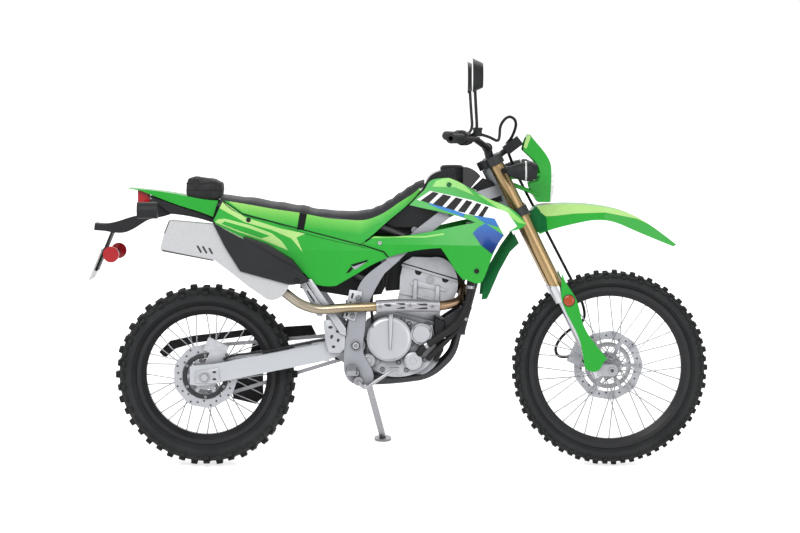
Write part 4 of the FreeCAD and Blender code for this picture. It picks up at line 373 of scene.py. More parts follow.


# Each grained and brushed material below carries painted shade where surfaces stand close together.
greenPlastic = grainedMaterial("greenPlastic", (0.018, 0.355, 0.030), (0.015, 0.325, 0.027), (0.24, 0.34), 700.0,
                               0.03, coat=0.1, ior=1.35)
# paleGreen: the painted highlights on the shrouds, and the thin line along the shroud.
paleGreen = grainedMaterial("paleGreen", (0.24, 0.60, 0.12), (0.20, 0.55, 0.10), (0.24, 0.34), 700.0, 0.03, coat=0.1)
# creamGreen: the claws printed on the side covers, and painted highlights on the front fender's top and the cowl's
# edge.
creamGreen = grainedMaterial("creamGreen", (0.42, 0.68, 0.22), (0.34, 0.62, 0.17), (0.24, 0.34), 700.0, 0.03,
                             coat=0.1)
# darkGreen: the shroud ducts and a shroud bolt, and painted shade on the front fender's rear cheek.
darkGreen = grainedMaterial("darkGreen", (0.003, 0.13, 0.030), (0.002, 0.11, 0.026), (0.3, 0.4), 700.0, 0.03,
                            ior=1.25)
blackPlastic = grainedMaterial("blackPlastic", (0.012, 0.0125, 0.014), (0.022, 0.023, 0.025), (0.45, 0.6), 1400.0,
                               0.25, ior=1.3)
glossBlack = grainedMaterial("glossBlack", (0.010, 0.0105, 0.012), (0.015, 0.016, 0.018), (0.16, 0.26), 500.0, 0.03,
                             ior=1.35)
blackMetal = grainedMaterial("blackMetal", (0.014, 0.0145, 0.016), (0.024, 0.025, 0.027), (0.3, 0.42), 900.0, 0.1,
                             ior=1.35)
greyFrame = grainedMaterial("greyFrame", (0.33, 0.34, 0.37), (0.26, 0.27, 0.30), (0.3, 0.42), 900.0, 0.1,
                            metallic=0.35, creviceShade=0.7)
tyreRubber = grainedMaterial("tyreRubber", (0.017, 0.018, 0.019), (0.030, 0.031, 0.032), (0.62, 0.82), 1100.0, 0.35,
                             drift=(14.0, 0.8), ior=1.3, creviceShade=0.6)
softRubber = grainedMaterial("softRubber", (0.013, 0.013, 0.014), (0.022, 0.022, 0.023), (0.55, 0.7), 1300.0, 0.3,
                             ior=1.3)
castAlloy = grainedMaterial("castAlloy", (0.49, 0.50, 0.53), (0.37, 0.38, 0.41), (0.36, 0.52), 1100.0, 0.45,
                            metallic=0.35, drift=(26.0, 0.8), creviceShade=0.85, reach=0.035)
coverAlloy = grainedMaterial("coverAlloy", (0.47, 0.48, 0.51), (0.38, 0.39, 0.42), (0.28, 0.4), 1300.0, 0.16,
                             metallic=0.5, creviceShade=0.8)
spokeSteel = grainedMaterial("spokeSteel", (0.36, 0.37, 0.39), (0.28, 0.29, 0.31), (0.3, 0.42), 1300.0, 0.1,
                             metallic=0.6, creviceShade=0.8)
# hangerBlack also marks the uncut slots and holes of brackets, shield, swingarm and discs, as painted shade.
hangerBlack = grainedMaterial("hangerBlack", (0.030, 0.031, 0.034), (0.045, 0.046, 0.05), (0.34, 0.46), 900.0, 0.1,
                              metallic=0.3, creviceShade=0.5)
goldTube = brushedMaterial("goldTube", (0.36, 0.25, 0.125), (0.29, 0.20, 0.10), (0.2, 0.3), (6.0, 6.0, 0.6), 0.04,
                           metallic=0.9)
paleBelow(goldTube, 0.622, (0.52, 0.53, 0.55))
chromeTube = brushedMaterial("chromeTube", (0.50, 0.51, 0.54), (0.42, 0.43, 0.46), (0.1, 0.18), (6.0, 6.0, 0.6), 0.02)
bareSteel = brushedMaterial("bareSteel", (0.36, 0.36, 0.38), (0.27, 0.27, 0.29), (0.26, 0.4), (1.0, 8.0, 1.0), 0.08,
                            metallic=0.7)
discSteel = brushedMaterial("discSteel", (0.46, 0.47, 0.50), (0.37, 0.38, 0.41), (0.24, 0.36), (8.0, 1.0, 8.0), 0.1,
                            metallic=0.7)
armAlloy = brushedMaterial("armAlloy", (0.50, 0.52, 0.55), (0.44, 0.46, 0.49), (0.28, 0.4), (1.5, 24.0, 24.0), 0.07,
                           metallic=0.5, creviceShade=0.7)
mufflerSteel = brushedMaterial("mufflerSteel", (0.52, 0.525, 0.54), (0.45, 0.455, 0.47), (0.25, 0.38),
                               (2.0, 34.0, 34.0), 0.02, metallic=0.6, creviceShade=0.8)
chainSteel = brushedMaterial("chainSteel", (0.15, 0.145, 0.14), (0.09, 0.088, 0.085), (0.3, 0.45), (4.0, 4.0, 4.0),
                             0.1, metallic=0.8)
mirrorGlass = brushedMaterial("mirrorGlass", (0.90, 0.91, 0.92), (0.88, 0.89, 0.90), (0.02, 0.04), (1.0, 1.0, 1.0),
                              0.0)
plateWhite = grainedMaterial("plateWhite", (0.78, 0.78, 0.76), (0.72, 0.72, 0.70), (0.35, 0.45), 500.0, 0.05)
redLens = grainedMaterial("redLens", (0.38, 0.008, 0.012), (0.30, 0.005, 0.009), (0.08, 0.14), 300.0, 0.02, coat=0.2)
orangeLens = grainedMaterial("orangeLens", (0.40, 0.055, 0.008), (0.34, 0.045, 0.007), (0.1, 0.16), 300.0, 0.02,
                             coat=0.2)
signalLens = grainedMaterial("signalLens", (0.62, 0.63, 0.64), (0.48, 0.49, 0.50), (0.05, 0.1), 240.0, 0.3, coat=0.5,
                             drift=(90.0, 0.8))
dialGlass = grainedMaterial("dialGlass", (0.09, 0.11, 0.11), (0.06, 0.075, 0.075), (0.05, 0.09), 300.0, 0.01,
                            coat=0.6)
decalWhite = grainedMaterial("decalWhite", (0.80, 0.81, 0.82), (0.76, 0.77, 0.78), (0.24, 0.34), 700.0, 0.02,
                             coat=0.1)
# decalBlack: printed slashes, seams, the strap across the cover, and painted shade in the side cover's vent.
decalBlack = grainedMaterial("decalBlack", (0.007, 0.007, 0.008), (0.011, 0.011, 0.012), (0.24, 0.34), 700.0, 0.02,
                             ior=1.2)
seatSideHighlight = paintSeatSideHighlight()
headerSteel = tintedSteel()
vinyl = seatVinyl()
weave = bagWeave()
lampLens = clearLens()
blueFilm = blueFade()

nodeFinishes = [
    (greenPlastic, ["front_fender", "headlight_cowl", "fork_guards", "tank_shrouds", "side_covers", "tail_fender"]),
    (blackPlastic, ["plate_holder", "inner_fender", "mirrors", "front_signals", "rear_signals", "muffler_guard",
                    "meter", "fuel_cap"]),
    (glossBlack, ["fuel_tank"]),
    (blackMetal, ["front_rim", "rear_rim", "handlebar", "rear_shock", "subframe"]),
    (hangerBlack, ["frame_cradle", "engine_hangers", "triple_clamps"]),
    (spokeSteel, ["front_hub_and_spokes", "rear_hub_and_spokes"]),
    (greyFrame, ["frame_beams", "pivot_plates"]),
    (tyreRubber, ["front_tyre", "rear_tyre"]),
    (softRubber, ["hand_controls"]),
    (castAlloy, ["crankcase", "cylinder", "cylinder_head", "front_caliper", "rear_caliper", "shock_linkage",
                 "radiators"]),
    (coverAlloy, ["front_axle"]),
    (goldTube, ["fork_outer_tubes"]),
    (chromeTube, ["fork_lowers"]),
    (bareSteel, ["rear_axle", "foot_levers", "rider_pegs", "side_stand", "header_shield", "final_drive",
                 "rear_sprocket"]),
    (discSteel, ["front_brake_disc", "rear_brake_disc"]),
    (armAlloy, ["swingarm"]),
    (mufflerSteel, ["muffler"]),
    (headerSteel, ["exhaust_header"]),
    (plateWhite, ["number_plate"]),
    (redLens, ["rear_red_lamps"]),
    (lampLens, ["headlamp"]),
    (vinyl, ["seat"]),
    (weave, ["tool_bag"]),
]
for material, names in nodeFinishes:
    for node in [nodes[name] for name in names]:
        for slot in node.material_slots:
            slot.material = material
        if not node.material_slots:
            node.data.materials.append(material)
print("materials made and placed")


# Ways of making and finishing a piece

def finishPiece(work, name, body, material, smoothAngle=34.0, recalc=True):
    if recalc:
        bmesh.ops.recalc_face_normals(work, faces=work.faces)
    bmesh.ops.transform(work, matrix=uprightToWorld, verts=work.verts)
    mesh = bpy.data.meshes.new(name)
    work.to_mesh(mesh)
    work.free()
    mesh.materials.append(material)
    mesh.shade_smooth()
    mesh.set_sharp_from_angle(angle=math.radians(smoothAngle))
    piece = bpy.data.objects.new(name, mesh)
    scene.collection.objects.link(piece)
    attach(piece, body)
    return piece


def vertsOf(geometry):
    return [v for v in geometry if isinstance(v, bmesh.types.BMVert)]


def newSince(work, before):
    return [v for v in work.verts if v not in before]


def valueAt(keys, position):
    # Smooth value between (position, value) keys.
    if position <= keys[0][0]:
        return keys[0][1]
    for (x0, v0), (x1, v1) in zip(keys, keys[1:]):
        if position <= x1:
            share = (position - x0) / (x1 - x0)
            share = share * share * (3 - 2 * share)
            return v0 + (v1 - v0) * share
    return keys[-1][1]


def facing(x, y, z, side):
    # Places a lathed shape so that its own x axis points out of the given side.
    return Matrix.Translation((x, y, z)) @ Matrix.Rotation(side * math.pi / 2, 4, "Z")


def lathe(work, profile, place, steps=40):
    # The profile is of (along, radius) pairs, turned round the x axis.
    verts = [work.verts.new((along, 0, max(radius, 0.01))) for along, radius in profile]
    edges = [work.edges.new(pair) for pair in zip(verts, verts[1:])]
    before = set(work.verts) - set(verts)
    bmesh.ops.spin(work, geom=verts + edges, cent=(0, 0, 0), axis=(1, 0, 0), dvec=(0, 0, 0), angle=math.tau,
                   steps=steps, use_merge=True)
    bmesh.ops.remove_doubles(work, verts=newSince(work, before), dist=0.05)
    bmesh.ops.transform(work, matrix=place, verts=newSince(work, before))


def slabOf(work, corners, inner, outer, rim=1.0, steps=2):
    # An outline in (x, z) given its thickness along y, with the rim of its outer face rounded.
    face = work.faces.new([work.verts.new((x, inner, z)) for x, z in corners])
    grown = bmesh.ops.extrude_face_region(work, geom=[face])["geom"]
    bmesh.ops.translate(work, vec=(0, outer - inner, 0), verts=vertsOf(grown))
    edges = [edge for edge in grown if isinstance(edge, bmesh.types.BMEdge)]
    bmesh.ops.bevel(work, geom=edges, offset=rim, affect="EDGES", segments=steps, profile=0.5, material=-1)


def slabAcross(work, corners, half, rim):
    # A slab as far to each side of the middle, with both rims rounded.
    slabOf(work, corners, 0, half, rim, 3)
    slabOf(work, corners, 0, -half, rim, 3)


def slotCorners(x, z, length, width, turn=0.0):
    # The outline of a slot with round ends.
    corners = []
    for end, start in ((1, -90), (-1, 90)):
        for step in range(7):
            angle = math.radians(start + step * 30)
            corners.append(Vector((end * (length - width) / 2 + math.cos(angle) * width / 2,
                                   math.sin(angle) * width / 2)))
    turned = [Matrix.Rotation(math.radians(turn), 2) @ corner for corner in corners]
    return [(x + corner.x, z + corner.y) for corner in turned]


def boltHead(work, spot, normal, radius, height):
    # A low domed head with a round recess.
    before = set(work.verts)
    bmesh.ops.create_cone(work, cap_ends=True, segments=18, radius1=radius, radius2=radius * 0.82, depth=height)
    faces = {face for vert in newSince(work, before) for face in vert.link_faces}
    top = max(faces, key=lambda face: face.calc_center_median().z)
    bmesh.ops.inset_region(work, faces=[top], thickness=radius * 0.34, depth=0.0)
    recess = bmesh.ops.extrude_discrete_faces(work, faces=[top])["faces"][0]
    bmesh.ops.translate(work, vec=(0, 0, -height * 0.6), verts=recess.verts[:])
    turn = normal.to_track_quat("Z", "Y").to_matrix().to_4x4()
    place = Matrix.Translation(spot) @ turn @ Matrix.Translation((0, 0, height * 0.42))
    bmesh.ops.transform(work, matrix=place, verts=newSince(work, before))


def routeOf(points):
    # Even points along a smooth curve through the run of a hose.
    curve = bpy.data.curves.new("route", "CURVE")
    curve.dimensions = "3D"
    curve.resolution_u = 7
    spline = curve.splines.new("NURBS")
    spline.points.add(len(points) - 1)
    for point, spot in zip(spline.points, points):
        point.co = (*spot, 1.0)
    spline.order_u = 3
    spline.use_endpoint_u = True
    carrier = bpy.data.objects.new("route", curve)
    mesh = bpy.data.meshes.new_from_object(carrier)
    along = [vert.co.copy() for vert in mesh.vertices]
    bpy.data.meshes.remove(mesh)
    bpy.data.objects.remove(carrier)
    bpy.data.curves.remove(curve)
    return along


def edgesWithin(ring):
    return list({edge for vert in ring for edge in vert.link_edges if edge.other_vert(vert) in ring})


def tubeOf(work, along, radius, sides):
    # A capped ring carried along the points, without twisting on its way.
    ring = bmesh.ops.create_circle(work, cap_ends=True, segments=sides, radius=radius)["verts"]
    way = (along[1] - along[0]).normalized()
    turn = way.to_track_quat("Z", "Y")
    here = Matrix.Translation(along[0]) @ turn.to_matrix().to_4x4()
    bmesh.ops.transform(work, matrix=here, verts=ring)
    for index in range(1, len(along)):
        ahead = (along[min(index + 1, len(along) - 1)] - along[index - 1]).normalized()
        turn = way.rotation_difference(ahead) @ turn
        way = ahead
        there = Matrix.Translation(along[index]) @ turn.to_matrix().to_4x4()
        ring = vertsOf(bmesh.ops.extrude_edge_only(work, edges=edgesWithin(ring))["geom"])
        bmesh.ops.transform(work, matrix=there @ here.inverted(), verts=ring)
        here = there
    bmesh.ops.edgeloop_fill(work, edges=edgesWithin(ring))


def panelCopy(nodeName, keep):
    # The node's faces that pass the test, in the upright machine's millimetres.
    work = bmesh.new()
    work.from_mesh(nodes[nodeName].data)
    bmesh.ops.remove_doubles(work, verts=work.verts, dist=0.00001)
    bmesh.ops.transform(work, matrix=worldToUpright, verts=work.verts)
    work.normal_update()
    bmesh.ops.delete(work, geom=[f for f in work.faces if not keep(f)], context="FACES")
    return work


def surfaceAt(nodeName, x, z, side):
    # Where a line along y first meets the node from outside, and the normal there.
    work = panelCopy(nodeName, lambda f: True)
    found = BVHTree.FromBMesh(work).ray_cast(Vector((x, side * 600, z)), Vector((0, -side, 0)))
    work.free()
    return found[0], found[1]


# Tyres: a carcass with rings of tread blocks

tyres = {
    "frontTyre": {"node": "front_tyre", "body": "front_wheel", "x": 720.5, "z": 336.0, "radius": 336.0, "half": 37.0,
                  "flange": 277.4, "bead": 18.6, "lug": 10.5, "count": 33, "rows": [
                      # across, tilt, length, width, offset share
                      (9.5, 8.0, 19.0, 15.0, 0.0), (23.0, 26.0, 20.0, 13.0, 0.5),
                      (33.5, 56.0, 22.0, 12.0, 0.0), (35.5, 62.0, 14.0, 9.0, 0.5)]},
    "rearTyre": {"node": "rear_tyre", "body": "rear_wheel", "x": -659.5, "z": 312.0, "radius": 312.0, "half": 51.0,
                 "flange": 238.4, "bead": 27.0, "lug": 12.5, "count": 22, "rows": [
                     (12.5, 7.0, 24.0, 21.0, 0.0), (32.0, 22.0, 25.0, 19.0, 0.5),
                     (46.0, 52.0, 27.0, 16.0, 0.0), (48.5, 60.0, 20.0, 13.0, 0.5)]},
}
block = {"sunk": 5.0, "taper": 0.84, "bevel": 1.2}


def crownRadius(tyre, across):
    # The carcass falls away towards its shoulders.
    share = min(abs(across) / tyre["half"], 1.0)
    return tyre["radius"] - tyre["lug"] - tyre["half"] * 0.46 * share ** 2.2


def makeTyre(name, tyre):
    work = bmesh.new()
    half, bead, flange = tyre["half"], tyre["bead"], tyre["flange"]
    shoulder = crownRadius(tyre, half)
    crown = [half * (step / 12 * 2 - 1) for step in range(13)]
    wall = [(shoulder - 9.0, half + 1.8), ((shoulder + flange) / 2 - 2.0, half + 1.2), (flange + 6.0, bead + 8.0),
            (flange + 1.0, bead + 2.5), (flange, bead - 0.5), (flange - 8.0, bead - 0.5)]
    section = [(crownRadius(tyre, across), across) for across in crown] + wall
    section += [(radius, -across) for radius, across in reversed(wall)]
    axle = Vector((tyre["x"], 0, tyre["z"]))
    verts = [work.verts.new(axle + Vector((radius, across, 0))) for radius, across in section]
    edges = [work.edges.new((verts[i - 1], verts[i])) for i in range(len(verts))]
    bmesh.ops.spin(work, geom=verts + edges, cent=axle, axis=(0, 1, 0), dvec=(0, 0, 0), angle=math.tau, steps=120,
                   use_merge=True)
    bmesh.ops.remove_doubles(work, verts=work.verts, dist=0.01)
    bmesh.ops.recalc_face_normals(work, faces=work.faces)
    height = tyre["lug"] + block["sunk"]
    count = tyre["count"]
    for across, tilt, length, width, offset in tyre["rows"]:
        for side in (-1, 1):
            before = set(work.verts)
            lug = bmesh.ops.create_cube(work, size=1.0)["verts"]
            bmesh.ops.scale(work, vec=(height, width, length), verts=lug)
            top = [v for v in lug if v.co.x > 0]
            bmesh.ops.scale(work, vec=(1.0, block["taper"], block["taper"]), verts=top)
            bmesh.ops.translate(work, vec=(height / 2 - block["sunk"], 0, 0), verts=lug)
            edges = list({e for v in top for e in v.link_edges})
            bmesh.ops.bevel(work, geom=edges, offset=block["bevel"], affect="EDGES", segments=1, profile=0.5,
                            material=-1)
            lug = newSince(work, before)
            start = Matrix.Rotation(math.tau * offset / count, 4, "Y")
            outward = Matrix.Translation((crownRadius(tyre, across), side * across, 0))
            turn = Matrix.Rotation(math.radians(side * tilt), 4, "Z")
            bmesh.ops.transform(work, matrix=Matrix.Translation(axle) @ start @ outward @ turn, verts=lug)
            faces = list({f for v in lug for f in v.link_faces})
            edges = list({e for v in lug for e in v.link_edges})
            bmesh.ops.spin(work, geom=lug + edges + faces, cent=axle, axis=(0, 1, 0), dvec=(0, 0, 0),
                           angle=math.tau * (count - 1) / count, steps=count - 1, use_duplicate=True)
    piece = finishPiece(work, name, tyre["body"], tyreRubber, recalc=False)
    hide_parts(tyre["node"])


for name, tyre in tyres.items():
    makeTyre(name, tyre)
print("tyres made")


# Chain: plates and rollers along the run round both sprockets

chainRun = {"rear": (-659.5, 0, 312.0), "rearRadius": 91.03, "drive": (-72.0, 0, 425.0), "driveRadius": 28.54,
            "plane": 68.0, "links": 108, "inner": 3.6, "outer": 5.4, "plate": 1.4, "plateEnd": 5.4, "roller": 4.0}


def onCircle(centre, radius, angle):
    return centre + Vector((math.cos(angle), 0, math.sin(angle))) * radius


def chainPoint(share):
    # Where the chain's centre line is, as a share of the whole loop.
    rear, drive = Vector(chainRun["rear"]), Vector(chainRun["drive"])
    big, small = chainRun["rearRadius"], chainRun["driveRadius"]
    span = drive - rear
    slope = math.atan2(span.z, span.x)
    tilt = math.acos((big - small) / span.length)
    straight = math.sqrt(span.length ** 2 - (big - small) ** 2)
    parts = [straight, small * 2 * tilt, straight, big * 2 * (math.pi - tilt)]
    top, low = slope + tilt, slope - tilt
    run = share % 1.0 * sum(parts)
    if run < parts[0]:
        return onCircle(rear, big, top).lerp(onCircle(drive, small, top), run / parts[0])
    run -= parts[0]
    if run < parts[1]:
        return onCircle(drive, small, top - run / small)
    run -= parts[1]
    if run < parts[2]:
        return onCircle(drive, small, low).lerp(onCircle(rear, big, low), run / parts[2])
    run -= parts[2]
    return onCircle(rear, big, low - run / big)


def makeChain():
    work = bmesh.new()
    upright = Matrix.Rotation(math.pi / 2, 3, "X")
    count = chainRun["links"]
    for index in range(count):
        here = chainPoint(index / count)
        there = chainPoint((index + 1) / count)
        way = there - here
        turn = Matrix.Rotation(-math.atan2(way.z, way.x), 4, "Y")
        gap = chainRun["inner"] if index % 2 else chainRun["outer"]
        fresh = []
        for side in (-1, 1):
            plate = []
            for end in (-1, 1):
                rim = bmesh.ops.create_circle(work, cap_ends=False, segments=10, radius=chainRun["plateEnd"])["verts"]
                bmesh.ops.rotate(work, cent=(0, 0, 0), matrix=upright, verts=rim)
                bmesh.ops.translate(work, vec=(end * way.length / 2, 0, 0), verts=rim)
                plate += rim
            back = vertsOf(bmesh.ops.duplicate(work, geom=plate)["geom"])
            bmesh.ops.translate(work, vec=(0, side * chainRun["plate"], 0), verts=back)
            bmesh.ops.translate(work, vec=(0, side * gap, 0), verts=plate + back)
            bmesh.ops.convex_hull(work, input=plate + back)
            fresh += plate + back
        roller = bmesh.ops.create_cone(work, cap_ends=True, segments=10, radius1=chainRun["roller"],
                                       radius2=chainRun["roller"], depth=chainRun["outer"] * 2 + 3.0)["verts"]
        bmesh.ops.rotate(work, cent=(0, 0, 0), matrix=upright, verts=roller)
        bmesh.ops.translate(work, vec=(-way.length / 2, 0, 0), verts=roller)
        fresh = [v for v in fresh + roller if v.is_valid]
        middle = (here + there) / 2 + Vector((0, chainRun["plane"], 0))
        bmesh.ops.transform(work, matrix=Matrix.Translation(middle) @ turn, verts=fresh)
    return work


finishPiece(makeChain(), "chainLinks", "frame", chainSteel, 40.0)
print("chain made")


# Seat: a crowned cushion over a short skirt, with a strap across it

seatShape = {
    # (x, height or width)
    "top": [(-606, 927), (-511, 917), (-408, 901), (-340, 890), (-271, 877), (-203, 871), (-151, 870), (-100, 876),
            (-66, 889), (-31, 909), (3, 933), (37, 955), (64, 972), (86, 978)],
    "low": [(-606, 912), (-505, 900), (-404, 883), (-336, 873), (-234, 854), (-167, 849), (-116, 849), (-72, 863),
            (-31, 886), (3, 910), (37, 930), (70, 958), (86, 970)],
    "half": [(-606, 88), (-560, 97), (-360, 102), (-220, 97), (-120, 88), (-30, 78), (86, 60)],
    "rear": -606, "length": 692, "crown": 7.0, "skirt": 4.0,
}


def makeSeat():
    work = bmesh.new()
    bmesh.ops.create_grid(work, x_segments=70, y_segments=22, size=0.5)
    for vert in work.verts:
        x = seatShape["rear"] + (vert.co.x + 0.5) * seatShape["length"]
        across = vert.co.y * 2
        top = valueAt(seatShape["top"], x)
        low = valueAt(seatShape["low"], x)
        roll = abs(across) ** 5
        crown = seatShape["crown"] * (1 - across * across)
        vert.co = Vector((x, across * valueAt(seatShape["half"], x), top + crown - 5.0 - (top - low + 6.0) * roll))
    rim = [edge for edge in work.edges if edge.is_boundary]
    for vert in vertsOf(bmesh.ops.extrude_edge_only(work, edges=rim)["geom"]):
        vert.co.z = valueAt(seatShape["low"], vert.co.x) - seatShape["skirt"]
        vert.co.y *= 0.97
    bmesh.ops.holes_fill(work, edges=[edge for edge in work.edges if edge.is_boundary], sides=0)
    return work


seat = finishPiece(makeSeat(), "seatCushion", "frame", vinyl, 50.0)
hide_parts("seat")

strap = {"middle": -318.0, "width": 26.0, "centre": 845, "lift": 1.2}
seatTree = BVHTree.FromObject(seat, bpy.context.evaluated_depsgraph_get())
work = bmesh.new()
bmesh.ops.create_grid(work, x_segments=4, y_segments=70, size=0.5)
for vert in work.verts:
    angle = math.pi * vert.co.y * 0.96
    middle = Vector((strap["middle"] + vert.co.x * strap["width"], 0, strap["centre"]))
    out = Vector((0, math.sin(angle), math.cos(angle)))
    start = uprightToWorld @ (middle + out * 300)
    hit = seatTree.ray_cast(start, (uprightToWorld.to_3x3() @ -out).normalized())[0]
    vert.co = (worldToUpright @ hit if hit else middle) + out * strap["lift"]
finishPiece(work, "seatStrapBand", "frame", softRubber, 60.0)
print("seat and strap made")


# Graphics, painted highlights and painted shade on the panels: thin films cut from the panel's own surface

def trimTo(work, corners):
    # Each edge of the convex outline in (x, z) cuts away what lies outside it.
    middle = Vector((sum(c[0] for c in corners) / len(corners), 0, sum(c[1] for c in corners) / len(corners)))
    for (x0, z0), (x1, z1) in zip(corners, corners[1:] + corners[:1]):
        outward = Vector((z1 - z0, 0, x0 - x1))
        if outward.dot(middle - Vector((x0, 0, z0))) > 0:
            outward = -outward
        bmesh.ops.bisect_plane(work, geom=work.verts[:] + work.edges[:] + work.faces[:], dist=0.001,
                               plane_co=(x0, 0, z0), plane_no=outward, clear_outer=True)


def lifted(work, lift):
    work.normal_update()
    for vert in work.verts:
        vert.co += vert.normal * lift


def makeFilm(name, nodeName, side, outlines, material, slotName, lift, body):
    # A film for one side: the outlines are convex pieces of one graphic; some films are painted highlights and painted
    # shade instead.
    film = bmesh.new()
    for corners in outlines:
        work = panelCopy(nodeName, lambda f: f.calc_center_median().y * side > 0 and f.normal.y * side > 0.2)
        trimTo(work, corners)
        scratch = bpy.data.meshes.new("scratch")
        work.to_mesh(scratch)
        work.free()
        film.from_mesh(scratch)
        bpy.data.meshes.remove(scratch)
    if len(film.faces):
        bmesh.ops.remove_doubles(film, verts=film.verts, dist=0.001)
        lifted(film, lift)
        finishPiece(film, name, body, material, 40.0, recalc=False)
    else:
        film.free()
        print("film with nothing under it:", name)


def band(upper, lower):
    # Convex quads between two lines that run the same way.
    return [[a, b, d, c] for a, b, c, d in zip(upper, upper[1:], lower, lower[1:])]


films = {
    # name: node, lift, finish, body, outlines
    "shroudBlue": ("tank_shrouds", 0.30, "blue", "frame", [
        [(96, 901), (138, 906), (222, 870), (216, 858), (138, 884)],
        [(216, 858), (222, 870), (319, 856), (349, 799), (288, 838)],
        [(264, 824), (288, 838), (349, 799), (310, 736), (246, 805)],
        [(246, 805), (310, 736), (273, 766)]]),
    "shroudWhite": ("tank_shrouds", 0.55, "white", "frame", [
        [(59, 914), (105, 944), (172, 930), (138, 896)],
        [(138, 896), (172, 930), (246, 914), (222, 868)],
        [(222, 868), (246, 914), (361, 876), (319, 854)],
        [(319, 854), (361, 876), (394, 829), (349, 799)]]),
    "shroudSlashes": ("tank_shrouds", 0.80, "black", "frame", [
        [(72, 912), (114, 941), (134, 936), (100, 903)],
        [(112, 900), (148, 933), (176, 926), (144, 891)],
        [(156, 888), (190, 923), (214, 917), (184, 880)],
        [(196, 877), (226, 914), (246, 908), (220, 872)],
        [(232, 868), (260, 905), (276, 900), (252, 864)],
        [(264, 862), (288, 895), (300, 892), (280, 859)]]),
    # Painted highlights in pale green on the shroud, near its upper bolt and along its upper front edge.
    "shroudHighlightRear": ("tank_shrouds", 0.28, "pale", "frame", [
        [(112, 958), (124, 978), (150, 986), (174, 988), (186, 957)],
        [(186, 957), (174, 988), (206, 979), (252, 930)]]),
    "shroudHighlightFront": ("tank_shrouds", 0.28, "pale", "frame", [
        [(262, 934), (300, 925), (364, 889), (340, 882)],
        [(340, 882), (364, 889), (424, 836), (397, 841)]]),
    "shroudFinEdge": ("tank_shrouds", 0.55, "white", "frame",
                      band([(352, 796), (322, 726), (296, 672), (268, 590)],
                           [(349, 797), (319, 728), (293, 674), (265, 591)])),
    "shroudLine": ("tank_shrouds", 0.28, "pale", "frame",
                   band([(-96, 790), (-20, 793), (86, 794), (150, 804)],
                        [(-96, 785), (-20, 788), (86, 788), (150, 798)])),
    "coverClawHigh": ("side_covers", 0.30, "cream", "frame", [
        [(-640, 903), (-605, 914), (-521, 855), (-521, 838)],
        [(-521, 838), (-521, 855), (-400, 817), (-430, 812)],
        [(-430, 812), (-400, 817), (-316, 800), (-346, 787), (-364, 784)],
        [(-364, 784), (-346, 787), (-325, 737)]]),
    "coverClawLow": ("side_covers", 0.30, "cream", "frame", [
        [(-623, 838), (-612, 848), (-588, 850), (-504, 828), (-537, 803)],
        [(-537, 803), (-504, 828), (-429, 801), (-463, 780)],
        [(-463, 780), (-429, 801), (-396, 774), (-375, 744)]]),
    "coverClawGreen": ("side_covers", 0.55, "green", "frame", [
        [(-600, 832), (-590, 841), (-508, 818), (-540, 809)],
        [(-540, 809), (-508, 818), (-436, 792), (-466, 784)]]),
    # Painted highlight on the panel beside the seat, paling towards the seat's edge.
    "seatEdgeHighlight": ("side_covers", 0.26, "fade", "frame", [
        [(-599, 925), (-332, 899), (-335, 817), (-527, 870)],
        [(-335, 817), (-332, 899), (-200, 893), (-136, 766)],
        [(-136, 766), (-200, 893), (-92, 955), (75, 1000), (75, 900)]]),
    "seatStrap": ("side_covers", 0.9, "black", "frame", [
        [(-331, 899), (-305, 899), (-321, 813), (-345, 813)]]),
    "coverSeam": ("side_covers", 0.9, "black", "frame",
                  band([(-599, 915), (-527, 867.5), (-335, 818), (-131, 765), (-80, 752)],
                       [(-599, 911), (-527, 863.5), (-335, 814), (-131, 761), (-80, 748)])),
    "shroudSeam": ("tank_shrouds", 0.9, "black", "frame",
                   band([(-126, 765), (-50, 741), (-30, 716)], [(-126, 761), (-53, 737), (-35, 714)])),
    # Painted shade: black strips in the vent's openings.
    "coverVentShade": ("side_covers", 0.9, "black", "frame", [
        [(-165, 695), (-105, 713), (-108, 706), (-153, 690)], [(-180, 666), (-162, 690), (-155, 683), (-168, 670)]]),
    "coverVentShadeFloor": ("side_covers", 0.6, "grey", "frame", [
        [(-162, 686), (-153, 692), (-108, 707), (-147, 679)]]),
    # Painted highlight in cream green along the top of the front fender.
    "fenderTopHighlight": ("front_fender", 0.35, "cream", "steering",
                   band([(466, 890), (481, 900), (524, 905), (608, 905), (705, 900), (745, 894), (813, 872),
                         (885, 828)],
                        [(480, 868), (499, 856), (524, 858), (590, 866), (698, 870), (745, 860), (806, 848),
                         (864, 822)])),
    # Painted shade in dark green on the front fender's rear cheek, by the fork.
    "fenderCheekShade": ("front_fender", 0.35, "dark", "steering", [
        [(440, 898), (465, 890), (499, 850), (503, 806), (450, 800)]]),
    # Painted highlight in cream green along the cowl's edge.
    "cowlEdgeHighlight": ("headlight_cowl", 0.35, "cream", "steering", [
        [(418, 1090), (428, 1122), (438, 1136), (446, 1124), (430, 1086)]]),
}
filmFinishes = {
    "green": (greenPlastic, "green_plastic"), "pale": (paleGreen, "green_plastic"),
    "cream": (creamGreen, "green_plastic"), "dark": (darkGreen, "green_plastic"),
    "fade": (seatSideHighlight, "green_plastic"), "blue": (blueFilm, "green_plastic"),
    "white": (decalWhite, "green_plastic"), "black": (decalBlack, "black_plastic"),
    "grey": (greyFrame, "grey_frame"),
}
for name, (nodeName, lift, finish, body, outlines) in films.items():
    for side, ending in ((-1, "Right"), (1, "Left")):
        makeFilm(name + ending, nodeName, side, outlines, *filmFinishes[finish], lift, body)
print("graphics made")


# Bolts of the panels

